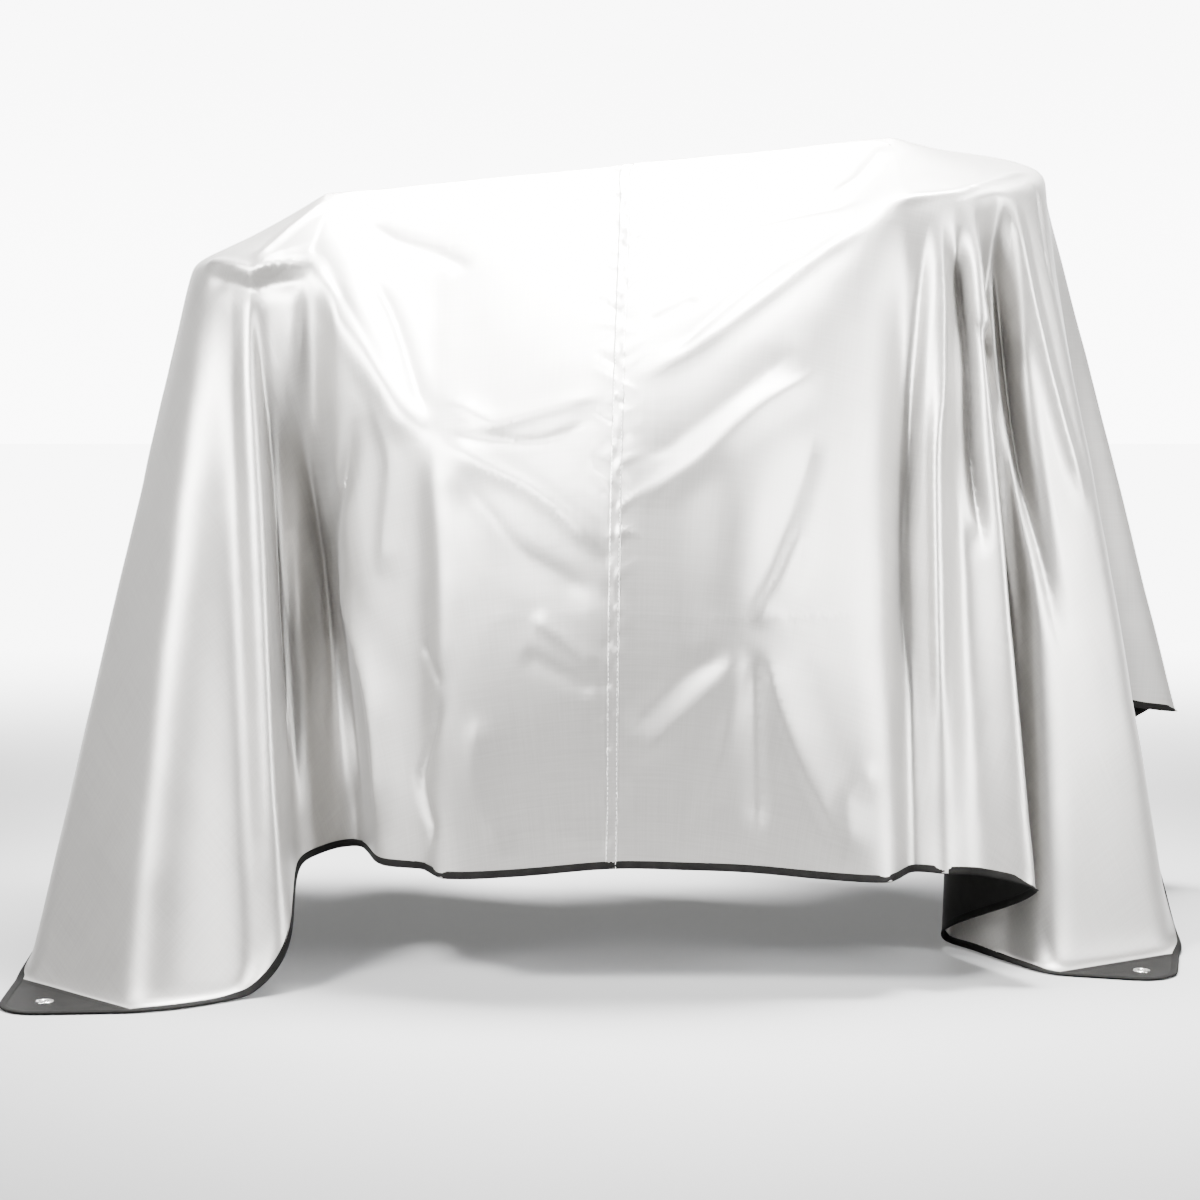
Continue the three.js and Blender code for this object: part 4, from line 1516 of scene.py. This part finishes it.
@dataclass
class HemBinding:
    """Black tape folded round the whole hem, over the cloth and the corner patches."""

    cover: CoverCloth
    corners: list[Corner]
    step: float = 6 * MM
    lip: float = 10 * MM
    hug: float = 0.15 * MM
    tape: float = 0.7 * MM
    ease: int = 3
    piece: bpy.types.Object = field(init=False)

    def _path(self) -> np.ndarray:
        """The hem round the cover: place and normal of each point."""
        sheet = self.cover.cloth
        order = sheet.hem()
        normals = sheet.normals()
        place = sheet.points[:, :3] - 0.5 * self.cover.thick * normals
        rows = [np.concatenate([place[k], normals[k]]) for k in order]
        for corner in self.corners:
            spots = np.array([row[:3] for row in rows])
            first, last = (int(np.linalg.norm(spots - end, axis=1).argmin()) for end in corner.ends)
            hem = corner.hem
            ahead = (last - first) % len(rows)
            if ahead > len(rows) // 2:
                first, last, hem = last, first, hem[::-1]
                ahead = (last - first) % len(rows)
            rows = rows[first:] + rows[:first]
            fresh = [np.concatenate([p, corner.normal]) for p in evenly(hem, self.step)[1:-1]]
            rows = [rows[0], *fresh, *rows[ahead:]]
        path = evenly(np.array([*rows, rows[0]]), self.step)[:-1]
        for _ in range(self.ease):
            path = 0.25 * np.roll(path, 1, axis=0) + 0.5 * path + 0.25 * np.roll(path, -1, axis=0)
        return path

    def _profile(self) -> list[tuple[float, float]]:
        """Section of the folded tape: how far in from the edge and how far off the middle."""
        inner = 0.5 * self.cover.thick + self.hug
        outer = inner + self.tape
        nose = -self.tape - 0.6 * MM
        upper = [(self.lip, inner), (self.lip + 0.2 * MM, 0.5 * (inner + outer)),
                 (self.lip - 0.3 * MM, outer), (0.65 * self.lip, outer + 0.15 * MM),
                 (0.3 * self.lip, outer + 0.25 * MM), (0.3 * MM, outer + 0.1 * MM),
                 (0.65 * nose, 0.7 * outer)]
        lower = [(a, -n) for a, n in reversed(upper)]
        back = [(0.2 * MM, -inner), (0.2 * MM, inner)]
        return [*upper, (nose, 0.0), *lower, *back]

    def build(self, finish: bpy.types.Material) -> None:
        """Sweeps the tape along the hem.

        Args:
            finish: Its material.
        """
        path = self._path()
        place, normal = path[:, :3], unit(path[:, 3:])
        tangent = unit(np.roll(place, -1, axis=0) - np.roll(place, 1, axis=0))
        inward = unit(np.cross(normal, tangent))
        normal = unit(np.cross(tangent, inward))
        profile = self._profile()
        size, count = len(profile), len(place)
        points = np.stack([place + a * inward + n * normal for a, n in profile], axis=1).reshape(-1, 3)
        walked = np.arange(count) * self.step
        over = np.linspace(0.0, 2.2 * self.lip, size)
        flat = np.stack([np.repeat(walked, size), np.tile(over, count)], axis=1)
        faces = grid_faces(count, size, round_rows=True, round_columns=True)
        self.piece = new_object("bound_hem", points, faces, [finish], flat)
        face_out(self.piece)
        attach(self.piece, BODY)
        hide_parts("hem_binding")
        LOG.info("bound_hem: %d faces, %.2f m long", len(faces), count * self.step)


# Felled seam and stitches


@dataclass
class FelledSeam:
    """The flat doubled seam between the panels, with two rows of stitches."""

    cover: CoverCloth
    half_width: float = 9 * MM
    proud: float = 0.9 * MM
    row_gap: float = 6.5 * MM
    stitch: float = 5.2 * MM
    pitch: float = 7.4 * MM
    thread: float = 0.75 * MM
    step: float = 4 * MM
    drop: float = 20 * MM
    strip: bpy.types.Object = field(init=False)
    stitches: bpy.types.Object = field(init=False)

    def _frames(self, step: float) -> tuple[np.ndarray, np.ndarray, np.ndarray, np.ndarray]:
        """Frames along the seam.

        Args:
            step: Distance from one to the next.

        Returns:
            Place, tangent, direction across and normal of each.
        """
        sheet = self.cover.cloth
        normals = sheet.normals()
        line = np.concatenate([sheet.points[self.cover.seam, :3], normals[self.cover.seam]], axis=1)
        rows = evenly(line, step)
        place, normal = rows[:, :3], unit(rows[:, 3:])
        tangent = unit(np.gradient(place, axis=0))
        across = unit(np.cross(tangent, normal))
        return place, tangent, across, normal

    def _on_cloth(self, places: np.ndarray, normals: np.ndarray) -> np.ndarray:
        """Drops points onto the cloth along their normals.

        Args:
            places: The points.
            normals: The normals.

        Returns:
            The points on the cloth.
        """
        found = []
        pieces = list(self.cover.pieces.values())
        for place, normal in zip(places, normals):
            best = place
            least = math.inf
            for piece in pieces:
                start = Vector(place + self.drop * normal)
                hit, where, _, _ = piece.ray_cast(start, Vector(-normal), distance=2.5 * self.drop)
                gap = abs((np.array(where) - place) @ normal) if hit else math.inf
                if gap < least:
                    best, least = np.array(where), gap
            found.append(best)
        return np.array(found)

    def build(self, cloth: bpy.types.Material, thread: bpy.types.Material) -> None:
        """Makes the doubled strip and its stitches.

        Args:
            cloth: Finish of the strip.
            thread: Finish of the stitches.
        """
        place, _, across, normal = self._frames(self.step)
        section = mirrored([(1.0, -0.3), (0.97, 0.75), (0.72, 0.85), (0.35, 1.0)], (0.0, 0.9))
        columns, flats = [], []
        walked = np.arange(len(place)) * self.step
        for share, height in section:
            beside = place + share * self.half_width * across
            lain = self._on_cloth(beside, normal)
            columns.append(lain + height * self.proud * normal)
            flats.append(np.stack([np.full(len(place), share * self.half_width), walked], axis=1))
        points = np.stack(columns, axis=1).reshape(-1, 3)
        flat = np.stack(flats, axis=1).reshape(-1, 2)
        faces = grid_faces(len(place), len(section))
        self.strip = new_object("felled_seam", points, faces, [cloth], flat)
        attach(self.strip, BODY)
        LOG.info("felled_seam: %d faces", len(faces))
        self._sew(thread)

    def _sew(self, thread: bpy.types.Material) -> None:
        """Lays two rows of stitches on the strip.

        Args:
            thread: Their finish.
        """
        place, tangent, across, normal = self._frames(self.pitch)
        rows = []
        for way in (-1.0, 1.0):
            spot = self._on_cloth(place + way * self.row_gap * across, normal) + 0.95 * self.proud * normal
            rows.append((spot, tangent, across, normal))
        frames = [np.concatenate(part)[2:-2] for part in zip(*rows)]
        self.stitches = lay_stitches("seam_stitches", frames, self.stitch, self.thread, thread)
        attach(self.stitches, BODY)
        LOG.info("seam_stitches: %d faces", len(self.stitches.data.polygons))


def lay_stitches(name: str, frames: Sequence[np.ndarray], length: float, thick: float,
                 finish: bpy.types.Material) -> bpy.types.Object:
    """Copies one short thread to many places.

    Args:
        name: Name of the object.
        frames: Places, tangents, directions across and normals.
        length: Length of a stitch.
        thick: Thickness of the thread.
        finish: Its material.

    Returns:
        One object with every stitch.
    """
    sections = mirrored([(0.5, 0.25, -0.3), (0.36, 0.9, 0.15)], (0.0, 1.0, 0.35))
    around = 6
    model = []
    for share, wide, lift in sections:
        for k in range(around):
            angle = 2.0 * math.pi * k / around
            model.append((share * length, 0.5 * thick * wide * math.cos(angle),
                          thick * lift + 0.5 * thick * wide * math.sin(angle)))
    faces = grid_faces(len(sections), around, round_columns=True)
    faces.append(list(range(around))[::-1])
    faces.append([(len(sections) - 1) * around + k for k in range(around)])
    shape = np.array(model)
    place, tangent, across, normal = frames
    points = (place[:, None] + shape[None, :, :1] * tangent[:, None]
              - shape[None, :, 1:2] * across[:, None] + shape[None, :, 2:3] * normal[:, None])
    every = [[corner + k * len(shape) for corner in face] for k in range(len(place)) for face in faces]
    return new_object(name, points.reshape(-1, 3), every, [finish])


# Studio


@dataclass(frozen=True)
class Lamp:
    """One large soft lamp that faces a point."""

    name: str
    place: tuple[float, float, float]
    target: tuple[float, float, float]
    size: tuple[float, float]
    power: float
    spread: float

    def build(self) -> None:
        """Hangs the lamp."""
        aim = Vector(self.target) - Vector(self.place)
        bpy.ops.object.light_add(type="AREA", location=self.place,
                                 rotation=aim.to_track_quat("-Z", "Y").to_euler())
        lamp = bpy.context.object
        lamp.name = self.name
        lamp.data.shape = "RECTANGLE"
        lamp.data.size, lamp.data.size_y = self.size
        lamp.data.energy = self.power
        lamp.data.spread = math.radians(self.spread)


@dataclass
class Studio:
    """Pale floor, soft lamps and the camera."""

    floor: float = -1.262
    floor_size: float = 60.0
    eye: tuple[float, float, float] = (-0.050, -4.015, -0.354)
    pitch: float = 5.285
    lens: float = 71.34
    sensor: float = 36.0
    sky_front: float = 0.04
    sky_back: float = 9.0
    sky_top: float = 0.5
    sky_low: float = 1.1
    sky_turn: tuple[float, float] = (0.82, 0.955)
    sky_climb: tuple[float, float] = (0.1, 0.7)
    sky_foot: tuple[float, float] = (0.04, 0.14)
    lamps: tuple[Lamp, ...] = (
        Lamp("top_lamp", (0.2, 0.35, 2.2), (0.1, 0.1, -0.3), (2.0, 0.8), 400.0, 80.0),
        Lamp("key_lamp", (-2.2, -2.2, 2.0), (0.1, -0.3, -0.55), (0.9, 0.9), 75.0, 45.0),
        Lamp("right_lamp", (3.4, -2.2, 0.6), (0.4, -0.3, -0.5), (0.8, 1.4), 36.0, 40.0),
        Lamp("left_lamp", (-3.4, -2.4, 0.5), (-0.7, -0.45, -0.7), (0.8, 1.4), 9.0, 40.0),
    )

    def build(self, finish: bpy.types.Material) -> None:
        """Sets up the studio.

        Args:
            finish: Material of the floor.
        """
        bpy.ops.object.select_all(action="DESELECT")
        bpy.ops.mesh.primitive_plane_add(size=self.floor_size, location=(0, 0, self.floor))
        floor = bpy.context.object
        floor.name = "studio_floor"
        bpy.ops.object.mode_set(mode="EDIT")
        bpy.ops.mesh.subdivide(number_cuts=3)
        bpy.ops.object.mode_set(mode="OBJECT")
        bpy.ops.object.transform_apply(location=True, rotation=True, scale=True)
        floor.data.materials.append(finish)
        for lamp in self.lamps:
            lamp.build()
        self._hang_sky()
        bpy.ops.object.camera_add(location=self.eye, rotation=(math.radians(90.0 - self.pitch), 0.0, 0.0))
        camera = bpy.context.object
        camera.data.sensor_width = self.sensor
        camera.data.lens = self.lens
        camera.data.clip_end = 200.0
        bpy.context.scene.camera = camera

    def _hang_sky(self) -> None:
        """Lights the room: white behind the cover, dark in front, pale near the floor on every side."""
        world = bpy.data.worlds.new("studio_sky")
        world.use_nodes = True
        nodes = Nodes(world.node_tree)
        way = nodes.node("ShaderNodeTexCoord", out="Generated")
        away, height = (nodes.node("ShaderNodeSeparateXYZ", inputs={0: way}, out=k) for k in "YZ")
        level = nodes.eased(away, *self.sky_turn, self.sky_front, self.sky_back)
        level = level * nodes.eased(height, *self.sky_climb, 1.0, self.sky_top)
        level = level + nodes.eased(height, *self.sky_foot, self.sky_low, 0.0)
        sky = nodes.node("ShaderNodeBackground", inputs={"Color": (1.0, 1.0, 1.0, 1.0), "Strength": level})
        room = nodes.tree.nodes.new("ShaderNodeOutputWorld")
        nodes.tree.links.new(sky.socket, room.inputs["Surface"])
        bpy.context.scene.world = world


CORNER_NAMES = ("front_left", "back_left", "back_right", "front_right")


def main() -> None:
    """Builds every piece of the cover and its studio, in order."""
    logging.basicConfig(level=logging.INFO, format="%(name)s: %(message)s")
    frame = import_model()
    solids = PackedSolids(frame["nodes"])
    Studio().build(PaleFloor().make())
    silver = SilverCloth().make()
    lining = BlackCloth("black_inner_face", 0.011, 0.006, 0.62, 1.4 * MM, 1.0).make()
    tape = BlackCloth("black_tape", 0.009, 0.004, 0.72, 0.9 * MM, 0.5).make()
    black = BlackCloth("black_patch_cloth", 0.012, 0.006, 0.68, 1.2 * MM, 1.0).make()
    pale_thread = SewingThread("pale_thread", 0.80, 0.62).make()
    metal = PressedMetal().make()
    cover = CoverCloth(solids)
    cover.build(silver, lining)
    corners = [Corner(name, solids) for name in CORNER_NAMES]
    patches = CornerPatches(corners)
    patches.build(black)
    eyelets = Eyelets(corners)
    eyelets.build(metal)
    binding = HemBinding(cover, corners)
    binding.build(tape)
    seam = FelledSeam(cover)
    seam.build(silver, pale_thread)
    trims = {Side.LEFT: [binding.piece], Side.RIGHT: [seam.strip, seam.stitches]}
    for name in CORNER_NAMES:
        panel = Side.LEFT if name.endswith("left") else Side.RIGHT
        trims[panel] += [patches.pieces[name], eyelets.pieces[name]]


if __name__ == "__main__":
    main()
